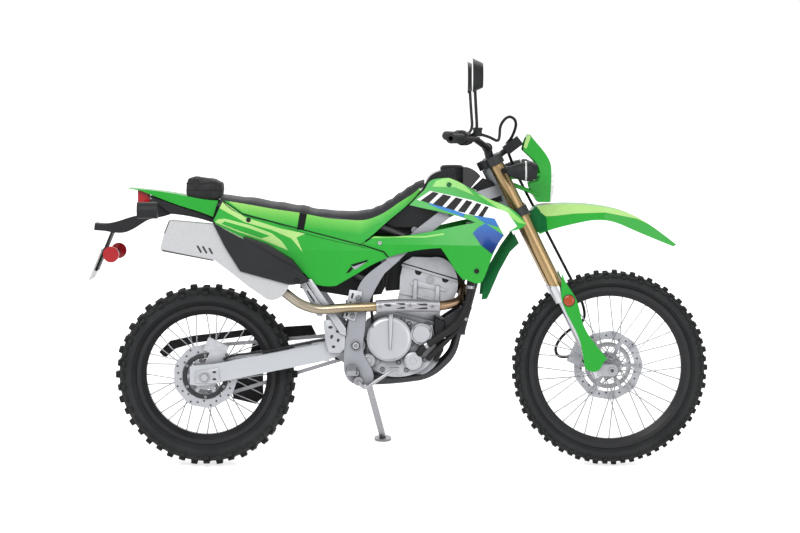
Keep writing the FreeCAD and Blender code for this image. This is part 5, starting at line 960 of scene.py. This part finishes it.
panelBolts = {
    # node: sides, then x, z, radius, material and slot of each
    "tank_shrouds": ((-1, 1), [(168, 965, 9.0, darkGreen, "green_plastic"),
                               (259, 678, 9.0, glossBlack, "black_plastic"), (-65, 769, 7.5, bareSteel, "steel")]),
    "side_covers": ((-1, 1), [(-509, 846, 8.5, glossBlack, "black_plastic")]),
    "muffler_guard": ((-1,), [(-342, 648, 8.5, glossBlack, "black_plastic")]),
}
for nodeName, (sides, bolts) in panelBolts.items():
    for number, (x, z, radius, material, slotName) in enumerate(bolts):
        work = bmesh.new()
        for side in sides:
            spot, normal = surfaceAt(nodeName, x, z, side)
            boltHead(work, spot, normal, radius, 4.0)
        finishPiece(work, nodeName.replace("_", "") + "Bolt" + str(number), "frame", material, 30.0)
print("bolts made")


# Engine: covers, bolts and the details of the head

engine = {
    "face": -118.0, "left": 112.0,
    "covers": [
        # x, z, side, steps, profile
        (-34.0, 443.5, -1, 64, [(0, 76), (2.4, 76), (3.2, 75), (3.2, 71.5), (4.6, 71), (6.0, 68.16), (7.3, 63.19),
                                (7.6, 56.8), (7.2, 53.96), (7.2, 0)]),
        (75.0, 460.0, -1, 48, [(0, 36), (2.2, 36), (3.0, 35), (3.0, 30.5), (6.6, 29), (7.6, 27.5), (7.9, 0)]),
        (-105.0, 369.0, -1, 36, [(0, 24), (3.0, 24), (3.0, 20), (7.0, 20), (8.0, 18.8), (8.0, 14.4), (5.4, 13.2),
                                 (5.4, 0)]),
        (47.0, 368.0, -1, 36, [(0, 30), (2.0, 30), (4.5, 26), (6.0, 24), (6.2, 13), (4.6, 10.92), (4.6, 0)]),
        (48.0, 405.0, 1, 56, [(0, 62), (4, 61), (6, 57), (6, 44.64), (4.6, 42.16), (4.6, 18.6), (6, 16.12), (6, 0)])],
    "clutchArm": [(-36, 530.5), (-21, 528.5), (-25, 453.5), (-28, 407.5), (-33, 407.5), (-35, 453.5)],
    "bolts": [(-2, 362), (24, 336), (86, 372), (102, 421), (34, 494), (-90, 486), (-104, 412), (-57, 338),
              (44, 428), (96, 492), (12, 508), (-112, 440)],
    "filterBolts": {"x": 75.0, "z": 460.0, "radius": 34, "turns": (20, 140, 260)},
}
toRight = Vector((0, -1, 0))
work = bmesh.new()
for x, z, side, steps, profile in engine["covers"]:
    lathe(work, profile, facing(x, engine["face"] if side < 0 else engine["left"], z, side), steps)
slabOf(work, engine["clutchArm"], engine["face"] - 4, engine["face"] - 12.5, 2.5)
finishPiece(work, "engineCovers", "frame", coverAlloy, 28.0)
work = bmesh.new()
for x, z in engine["bolts"]:
    spot = surfaceAt("crankcase", x, z, -1)[0]
    if spot:
        lathe(work, [(-1, 8.5), (1.2, 8.5), (2.0, 7.8)], facing(x, spot.y, z, -1), 20)
        boltHead(work, (x, spot.y - 1.0, z), toRight, 5.4, 5.0)
ring = engine["filterBolts"]
for turn in ring["turns"]:
    angle = math.radians(turn)
    spot = onCircle(Vector((ring["x"], engine["face"] - 3, ring["z"])), ring["radius"], angle)
    boltHead(work, spot, toRight, 5.0, 5.0)
finishPiece(work, "engineBolts", "frame", bareSteel, 30.0)

head = {
    "ribs": [
        # outline, outer y, rim
        ([(9, 696), (197, 640), (196, 632), (8, 688)], 69.5, 1.5),
        ([(49, 640), (62, 640), (60, 572), (45, 572)], 72, 3.0),
        ([(124, 622), (138, 620), (136, 566), (121, 566)], 72, 3.0),
        ([(34, 628), (52, 640), (140, 616), (166, 606), (160, 598), (44, 618)], 68, 2.0)],
    "cap": [(0, 13), (3.2, 13), (4.0, 12), (4.0, 9.5), (2.4, 9), (2.4, 4), (3.8, 3.6), (3.8, 0)],
    "lowRib": [(30, 596), (150, 566), (150, 560), (30, 590)],
    "seal": [(10, 699), (197, 643.5), (197, 640.5), (10, 696)],
    "plug": [(0, 11.5), (2.6, 11.5), (3.4, 10), (3.4, 0)], "plugs": [(65, 668), (157, 642)],
}
work = bmesh.new()
for side in (-1, 1):
    for corners, outer, rim in head["ribs"]:
        slabOf(work, corners, side * 60, side * outer, rim)
    lathe(work, head["cap"], facing(105, side * 64, 640, side), 32)
slabOf(work, head["lowRib"], -58, -68, 1.5)
finishPiece(work, "headCastings", "frame", castAlloy, 30.0)
work = bmesh.new()
for side in (-1, 1):
    slabOf(work, head["seal"], side * 60, side * 67.4, 0.4)
    for x, z in head["plugs"]:
        lathe(work, head["plug"], facing(x, side * 64, z, side), 28)
finishPiece(work, "headSeals", "frame", softRubber, 30.0)
print("engine details made")


# Intake, hoses and dark parts between engine and frame, with a black sheet of painted shade above the muffler

intake = {
    "boxes": [
        # outline, half width, rim
        ([(-336, 612), (-150, 582), (-60, 592), (-36, 640), (-28, 700), (-40, 772), (-250, 790), (-336, 724)], 84, 9.0),
        ([(-46, 600), (2, 604), (12, 650), (22, 726), (-46, 734)], 44, 5.0),
        ([(14, 706), (22, 754), (100, 780), (176, 776), (214, 726), (226, 640), (212, 588), (180, 600), (180, 650),
          (170, 690), (140, 704), (40, 700)], 46, 5.0),
        ([(118, 520), (156, 500), (150, 400), (128, 360), (116, 372)], 96, 6.0),
        ([(-644, 902), (-604, 910), (-556, 900), (-556, 846), (-634, 848)], 66, 4.0),
        ([(-84, 797), (30, 890), (116, 866), (40, 790)], 58, 4.0),
        ([(249, 950), (286, 984), (318, 972), (352, 905), (318, 915)], 31, 3.0)],
    "hanger": [(-520, 792), (-440, 765), (-360, 715), (-322, 668), (-348, 650), (-430, 690), (-520, 750)],
    "ribs": 5, "fold": [(-2.6, 21), (-2.6, 26), (-1.0, 28), (1.0, 28), (2.6, 26), (2.6, 21)], "folds": 6,
}
work = bmesh.new()
for corners, half, rim in intake["boxes"]:
    slabAcross(work, corners, half, rim)
# A black sheet of painted shade above the muffler, behind its guard.
slabOf(work, intake["hanger"], -112, -200, 3.0)
for step in range(intake["ribs"]):
    x = -100 + step * 13
    slabOf(work, [(x, 600 + step * 2), (x + 6, 601 + step * 2), (x + 10, 690), (x + 4, 690)], -82, -88, 1.5)
for step in range(intake["folds"]):
    lathe(work, intake["fold"], Matrix.Translation((-34 + step * 9, 0, 664 - step * 2)), 36)
finishPiece(work, "intakeBoxAndShadeSheet", "frame", blackPlastic, 30.0)

hoses = {
    # name: body, radius, run
    "waterHose": ("frame", 12.0, [
        (242, -130, 666), (239, -127, 606), (232, -125, 559), (200, -121, 494), (130, -118, 445), (86, -118, 419),
        (65, -114, 395), (57, -108, 369)]),
    "waterHoseLow": ("frame", 9.5, [
        (236, -96, 600), (232, -98, 540), (206, -100, 488), (160, -104, 436), (118, -108, 396), (96, -112, 372)]),
    "frontBrakeHose": ("steering", 5.0, [
        (268, -186, 1136), (300, -180, 1128), (330, -150, 1110), (338, -120, 1124), (340, -96, 1168),
        (372, -66, 1200), (402, -40, 1176), (384, -6, 1120), (362, 40, 1096), (376, 92, 1070), (399, 112, 1010),
        (432, 112, 944), (508, 110, 800), (590, 108, 642), (632, 106, 560), (645, 94, 505), (628, 80, 478),
        (590, 78, 460), (556, 78, 428), (538, 78, 394), (546, 78, 366), (582, 74, 362), (606, 74, 376)]),
    "rearBrakeHose": ("frame", 3.6, [
        (-196, -122, 452), (-232, -118, 444), (-330, -116, 426), (-430, -116, 404), (-520, -112, 392),
        (-560, -104, 388), (-596, -92, 372)]),
    "ventHose": ("frame", 5.0, [
        (-60, -70, 700), (-86, -92, 640), (-96, -98, 560), (-90, -100, 500), (-92, -104, 440), (-80, -104, 400)]),
}
for name, (body, radius, run) in hoses.items():
    work = bmesh.new()
    tubeOf(work, routeOf(run), radius, 16 if radius > 6 else 10)
    finishPiece(work, name, body, softRubber, 60.0)

clips = [
    # spot, way of the hose, radius
    ((239.5, -128, 620), (-0.1, 0.03, -1), 13.4), ((92, -117.5, 422), (-0.86, 0.05, -0.5), 13.2),
    ((222, -99, 512), (-0.5, 0, -0.85), 10.6),
]
work = bmesh.new()
for spot, ahead, radius in clips:
    turn = Vector(ahead).to_track_quat("X", "Z").to_matrix().to_4x4()
    lathe(work, [(-5, radius - 2), (-5, radius), (5, radius), (5, radius - 2)], Matrix.Translation(spot) @ turn, 28)
finishPiece(work, "hoseClips", "frame", bareSteel, 30.0)
print("intake and hoses made")


# Brackets and guards

brackets = {
    # name: ends, outlines with inner and outer y, face y, slots with their depth, bolts
    "pivotBracket": {
        "ends": [(1, "Right")], "face": -133.6,
        "plates": [([(-167, 611), (-126, 606), (-124, 602), (-150, 504), (-189, 517)], -129, -134)],
        "slots": [(-158, 591, 20, 7, 76, -134.5), (-166, 562, 20, 7, 76, -134.5), (-176, 531, 20, 7, 76, -134.5)],
        "bolts": [(-138, 584, 6.5), (-158, 522, 6.5), (-146.8, 422, 13.0), (-146.8, 329, 13.0)]},
    "passengerBracket": {
        "ends": [(1, "Right"), (-1, "Left")], "face": -132.6,
        "plates": [
            ([(-316, 642), (-296, 648), (-180, 480), (-180, 456), (-198, 462)], -132, -140),
            ([(-336, 636), (-318, 640), (-250, 540), (-262, 520), (-276, 524)], -134, -144),
            ([(-256, 506), (-236, 510), (-182, 476), (-184, 412), (-200, 396), (-238, 398), (-250, 440)], -128, -133)],
        "slots": [(-232, 484, 15, 9, 0, -133.5), (-208, 470, 12, 9, 0, -133.5), (-228, 452, 14, 9, 70, -133.5),
                  (-206, 440, 12, 9, 70, -133.5), (-222, 418, 12, 9, 0, -133.5), (-298, 590, 46, 6, -56, -144.4)],
        "bolts": [(-270, 530, 6.5), (-304, 636, 7.5), (-194, 470, 5.5)]},
}
for name, bracket in brackets.items():
    for side, ending in bracket["ends"]:
        work = bmesh.new()
        for corners, inner, outer in bracket["plates"]:
            slabOf(work, corners, side * inner, side * outer, 1.2)
        for x, z, radius in bracket["bolts"]:
            spot = Vector((x, side * (bracket["face"] - 1.5), z))
            lathe(work, [(-6, radius + 3), (0.6, radius + 3), (1.2, radius + 2)], facing(*spot, -side), 26)
            boltHead(work, spot, Vector((0, -side, 0)), radius, 6.0)
        finishPiece(work, name + ending, "frame", coverAlloy, 30.0)
        work = bmesh.new()
        # The slots are not cut through: a dark mark on each is painted shade where it opens.
        for x, z, length, width, turn, deep in bracket["slots"]:
            slabOf(work, slotCorners(x, z, length, width, turn), side * (deep + 1), side * deep, 0.3, 1)
        finishPiece(work, name + "Slots" + ending, "frame", hangerBlack, 30.0)

duct = {"inner": 125, "outer": 130, "outline": [(284, 640), (318, 691), (352, 750), (388, 800), (404, 768),
                                                (373, 738), (337, 672), (306, 600), (296, 580), (278, 577)]}
for side, ending in ((-1, "Right"), (1, "Left")):
    work = bmesh.new()
    slabOf(work, duct["outline"], side * duct["inner"], side * duct["outer"], 1.5)
    finishPiece(work, "shroudDuct" + ending, "frame", darkGreen, 40.0)

guard = {"inner": 106, "outer": 113, "outlines": [
    [(-833, 378), (-794, 417), (-713, 435), (-508, 459), (-304, 472), (-283, 430), (-472, 410), (-508, 436),
     (-707, 410), (-776, 389), (-812, 357)],
    [(-587, 310), (-472, 326), (-472, 221), (-498, 197), (-576, 216)],
    [(-461, 430), (-503, 430), (-535, 305), (-493, 305)]]}
work = bmesh.new()
for corners in guard["outlines"]:
    slabOf(work, corners, guard["inner"], guard["outer"], 1.2)
finishPiece(work, "chainGuard", "frame", blackPlastic, 30.0)

shield = {
    "slots": [(-40, 561, 26, 8), (4, 565, 32, 6), (4, 552, 32, 6), (72, 563, 46, 6), (72, 550, 46, 6)],
    "bolts": [(-64, 557), (36, 560), (112, 556)],
}
muffler = {
    "edges": [([(-786, 806), (-769, 848), (-766, 847), (-783, 805)], -204.6),
              ([(-793, 750), (-622, 716), (-620, 712), (-793, 745)], -204.8)],
    "slots": [(-668, 752, 28, 6, -60), (-650, 750, 28, 6, -60), (-630, 746, 24, 6, -60)],
}
# The slots are not cut through: dark marks on the shield and the muffler are painted shade where they open.
work = bmesh.new()
for x, z, length, width in shield["slots"]:
    face = surfaceAt("header_shield", x, z, -1)[0]
    if face:
        slabOf(work, slotCorners(x, z, length, width), face.y + 6, face.y - 0.7, 0.3, 1)
for corners, outer in muffler["edges"]:
    slabOf(work, corners, -202, outer, 0.2, 1)
for slot in muffler["slots"]:
    slabOf(work, slotCorners(*slot), -203, -204.7, 0.3, 1)
finishPiece(work, "shieldSlots", "frame", hangerBlack, 30.0)
work = bmesh.new()
for x, z in shield["bolts"]:
    spot = surfaceAt("header_shield", x, z, -1)[0]
    if spot:
        boltHead(work, spot, toRight, 6.5, 5.0)
finishPiece(work, "shieldBolts", "frame", bareSteel, 30.0)
print("brackets and guards made")


# Brake discs: holes, carriers and rivets

discs = {
    # name: body, x, z, face y, side, radius, carrier, finish of the carrier
    "rear": ("rear_wheel", -659.5, 312.0, -69.0, -1, 110.0, 78.0, hangerBlack),
    "front": ("front_wheel", 720.5, 336.0, 68.0, 1, 120.0, 80.0, bareSteel),
}
discDetail = {"holes": 27, "hole": 3.3, "thick": 3.2, "rivets": 6}
for name, (body, x, z, y, side, radius, carrier, carrierFinish) in discs.items():
    work = bmesh.new()
    # The holes are not drilled: a dark disc on each face is painted shade where the hole opens.
    for index in range(discDetail["holes"]):
        angle = math.tau * index / discDetail["holes"]
        reach = radius - 9 - 8 * (index % 3)
        for faceY, out in ((y, side), (y - side * discDetail["thick"], -side)):
            lathe(work, [(0.0, discDetail["hole"]), (0.25, discDetail["hole"]), (0.25, 0)],
                  facing(x + math.cos(angle) * reach, faceY, z + math.sin(angle) * reach, out), 10)
    finishPiece(work, name + "DiscHoles", body, hangerBlack, 30.0)
    work = bmesh.new()
    lathe(work, [(0.0, carrier), (1.4, carrier), (2.0, carrier - 1.5), (2.0, carrier - 14), (1.4, carrier - 15.5),
                 (0.0, carrier - 15.5)], facing(x, y - side * 0.5, z, side), 72)
    finishPiece(work, name + "DiscCarrier", body, carrierFinish, 30.0)
    work = bmesh.new()
    for index in range(discDetail["rivets"]):
        spot = onCircle(Vector((x, y + side * 1.6, z)), carrier - 7, math.tau * (index + 0.5) / discDetail["rivets"])
        boltHead(work, spot, Vector((0, side, 0)), 5.6, 3.6)
    finishPiece(work, name + "DiscRivets", body, bareSteel, 30.0)
print("disc details made")


# Shock spring, fuel cap, ends of the axles and swingarm, brake reservoir

spring = {"low": (-198, 0, 405), "high": (-84, 0, 715), "radius": 37, "wire": 5.0, "turns": 7, "steps": 24}
low, high = Vector(spring["low"]), Vector(spring["high"])
tilt = Matrix.Translation(low) @ (high - low).to_track_quat("Z", "Y").to_matrix().to_4x4()
coil = []
for step in range(spring["turns"] * spring["steps"] + 1):
    angle = math.tau * step / spring["steps"]
    rise = (high - low).length * step / (spring["turns"] * spring["steps"])
    coil.append(tilt @ Vector((math.cos(angle) * spring["radius"], math.sin(angle) * spring["radius"], rise)))
work = bmesh.new()
tubeOf(work, coil, spring["wire"], 10)
finishPiece(work, "shockSpring", "frame", hangerBlack, 60.0)

fuelCap = {"x": 180.0, "grips": 16, "profile": [(980, 36), (1010, 36), (1013, 38.5), (1022, 38.5), (1028, 34),
                                                (1029.5, 20), (1029.5, 0)],
           "grip": [(30, 1013), (40.5, 1013), (40, 1022), (33, 1028)]}
standing = Matrix.Rotation(-math.pi / 2, 4, "Y")
work = bmesh.new()
lathe(work, fuelCap["profile"], Matrix.Translation((fuelCap["x"], 0, 0)) @ standing, 56)
for index in range(fuelCap["grips"]):
    before = set(work.verts)
    slabOf(work, fuelCap["grip"], -2.8, 2.8, 0.6, 1)
    turn = Matrix.Rotation(math.tau * index / fuelCap["grips"], 4, "Z")
    bmesh.ops.transform(work, matrix=Matrix.Translation((fuelCap["x"], 0, 0)) @ turn, verts=newSince(work, before))
piece = finishPiece(work, "fuelCapBody", "frame", blackPlastic)
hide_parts("fuel_cap")

frontNut = [(0, 19), (2.5, 19), (3.5, 18), (3.5, 14), (12, 14), (13, 13), (13, 8), (9, 7), (9, 0)]
rearNut = [(0, 17), (3, 17), (4, 16), (4, 12), (12, 12), (13, 11), (13, 0)]
endPlate = [(-690, 332), (-612, 344), (-606, 292), (-692, 292)]
work = bmesh.new()
for side in (-1, 1):
    lathe(work, frontNut, facing(720.5, side * 104, 336.0, side), 24)
finishPiece(work, "axleNuts", "steering", bareSteel, 30.0)
work = bmesh.new()
for side in (-1, 1):
    slabOf(work, endPlate, side * 106, side * 113, 1.5)
    lathe(work, rearNut, facing(-659.5, side * 112, 312.0, side), 24)
finishPiece(work, "swingarmEnds", "frame", coverAlloy, 30.0)
work = bmesh.new()
# The slots are not cut through: a dark mark on each is painted shade where it opens.
for side in (-1, 1):
    for height in (330, 306):
        slabOf(work, slotCorners(-626, height, 13, 7), side * 112, side * 113.5, 0.2, 1)
finishPiece(work, "swingarmSlots", "frame", hangerBlack, 30.0)

reservoir = {"x": 262, "y": -178, "profile": [(1128, 0), (1128, 14), (1150, 15), (1151, 17), (1157, 17), (1158, 15),
                                              (1158, 0)]}
work = bmesh.new()
lathe(work, reservoir["profile"], Matrix.Translation((reservoir["x"], reservoir["y"], 0)) @ standing, 32)
finishPiece(work, "brakeReservoir", "steering", blackPlastic)
print("small assemblies made")


# Tool bag: cloth blown tight over its load, with piping and webbing sewn on

bag = {"corners": [(-718, 986), (-617, 974), (-600, 966), (-602, 928), (-614, 911), (-690, 913), (-724, 927)],
       "half": 62.0, "round": 11.0, "voxel": 0.005, "pressure": 4.0, "cap": 0.006, "floor": 0.926, "frames": 20,
       "piping": [(967, 1.7), (944, 1.5)], "straps": [-690.0, -632.0], "strapWidth": 18, "strapLift": 1.4}


def meshNow(piece):
    return bpy.data.meshes.new_from_object(piece.evaluated_get(bpy.context.evaluated_depsgraph_get()))


def softened(work):
    # Cloth under pressure; the base stays where it is strapped down, and no point moves past the cap.
    bmesh.ops.recalc_face_normals(work, faces=work.faces)
    bmesh.ops.scale(work, vec=(0.001, 0.001, 0.001), verts=work.verts)
    mesh = bpy.data.meshes.new("softShape")
    work.to_mesh(mesh)
    work.free()
    soft = bpy.data.objects.new("softShape", mesh)
    scene.collection.objects.link(soft)
    grid = soft.modifiers.new("grid", "REMESH")
    grid.mode = "VOXEL"
    grid.voxel_size = bag["voxel"]
    even = meshNow(soft)
    soft.modifiers.clear()
    soft.data = even
    rest = [vert.co.copy() for vert in even.vertices]
    held = soft.vertex_groups.new(name="held")
    held.add([index for index, spot in enumerate(rest) if spot.z < bag["floor"]], 1.0, "REPLACE")
    cloth = soft.modifiers.new("cloth", "CLOTH")
    cloth.settings.use_pressure = True
    cloth.settings.uniform_pressure_force = bag["pressure"]
    cloth.settings.effector_weights.gravity = 0.0
    cloth.settings.vertex_group_mass = "held"
    for step in range(1, bag["frames"] + 1):
        scene.frame_set(step)
    blown = meshNow(soft)
    scene.frame_set(1)
    work = bmesh.new()
    work.from_mesh(blown)
    work.verts.ensure_lookup_table()
    for vert, was in zip(work.verts, rest):
        move = vert.co - was
        if move.length > bag["cap"]:
            vert.co = was + move.normalized() * bag["cap"]
    bpy.data.objects.remove(soft)
    bmesh.ops.scale(work, vec=(1000, 1000, 1000), verts=work.verts)
    bmesh.ops.smooth_vert(work, verts=work.verts, factor=0.5, use_axis_x=True, use_axis_y=True, use_axis_z=True)
    return work


work = bmesh.new()
slabAcross(work, bag["corners"], bag["half"], bag["round"])
work = softened(work)
bagTree = BVHTree.FromBMesh(work)
bagPiece = finishPiece(work, "toolBag", "frame", weave, 70.0)
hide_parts("tool_bag")
work = bmesh.new()
for height, radius in bag["piping"]:
    loop = []
    for step in range(49):
        angle = math.tau * step / 48
        centre = Vector((-660, 0, height))
        out = Vector((math.cos(angle), math.sin(angle) * 1.05, 0)).normalized()
        hit = bagTree.ray_cast(centre + out * 300, -out)[0]
        if hit:
            loop.append(hit)
    tubeOf(work, loop, radius, 8)
finishPiece(work, "bagPiping", "frame", softRubber, 60.0)
work = bmesh.new()
for centre in bag["straps"]:
    for vert in bmesh.ops.create_grid(work, x_segments=3, y_segments=60, size=0.5)["verts"]:
        angle = math.pi * (vert.co.y * 1.02)
        middle = Vector((centre + vert.co.x * bag["strapWidth"], 0, 950))
        out = Vector((0, math.sin(angle), math.cos(angle)))
        hit = bagTree.ray_cast(middle + out * 300, -out)[0] or middle
        vert.co = hit + out * bag["strapLift"]
finishPiece(work, "bagWebbing", "frame", softRubber, 40.0)
print("tool bag made")


# Lamps and glass

signal = {"x": 343.6, "y": 190.0, "z": 1012.0, "profile": [(76.44, 34.5), (78.4, 34.9), (88.2, 31.5), (96.53, 26.74),
                                                           (98.9, 23.8), (99.6, 13.6), (99.8, 0)]}
work = bmesh.new()
for side in (-1, 1):
    lathe(work, signal["profile"], Matrix.Translation((signal["x"], side * signal["y"], signal["z"])))
finishPiece(work, "frontSignalLenses", "steering", signalLens, 40.0)

reflectors = {"x": 573.0, "y": 130.0, "z": 574.0, "parts": [
    # name, finish, slot, radius, how far out
    ("reflectorCups", blackPlastic, "black_plastic", 20.5, 3.0),
    ("reflectorLenses", orangeLens, "red_lens", 18.5, 4.2)]}
for name, finish, slotName, radius, out in reflectors["parts"]:
    work = bmesh.new()
    for side in (-1, 1):
        lathe(work, [(-1.0, radius), (out - 1.2, radius), (out, radius - 1.5), (out + 0.4, radius * 0.5),
                     (out + 0.5, 0)], facing(reflectors["x"], side * reflectors["y"], reflectors["z"], side))
    finishPiece(work, name, "steering", finish, 40.0)


def glassOver(name, nodeName, keep, margin, material):
    # A pane a little inside the edge of the faces that pass the test.
    work = panelCopy(nodeName, keep)
    border = bmesh.ops.inset_region(work, faces=work.faces[:], thickness=margin, depth=0.0)["faces"]
    bmesh.ops.delete(work, geom=border, context="FACES")
    lifted(work, 0.5)
    finishPiece(work, name, "steering", material, 40.0, recalc=False)


dialFacing = Vector((-0.61, 0.0, 0.792))
glassOver("mirrorGlasses", "mirrors", lambda f: f.normal.x < -0.95 and f.calc_center_median().z > 1250, 4.0,
          mirrorGlass)
glassOver("meterGlass", "meter", lambda f: f.normal.dot(dialFacing) > 0.97 and abs(f.calc_center_median().y) < 46,
          7.0, dialGlass)
print("lamps and glass made")
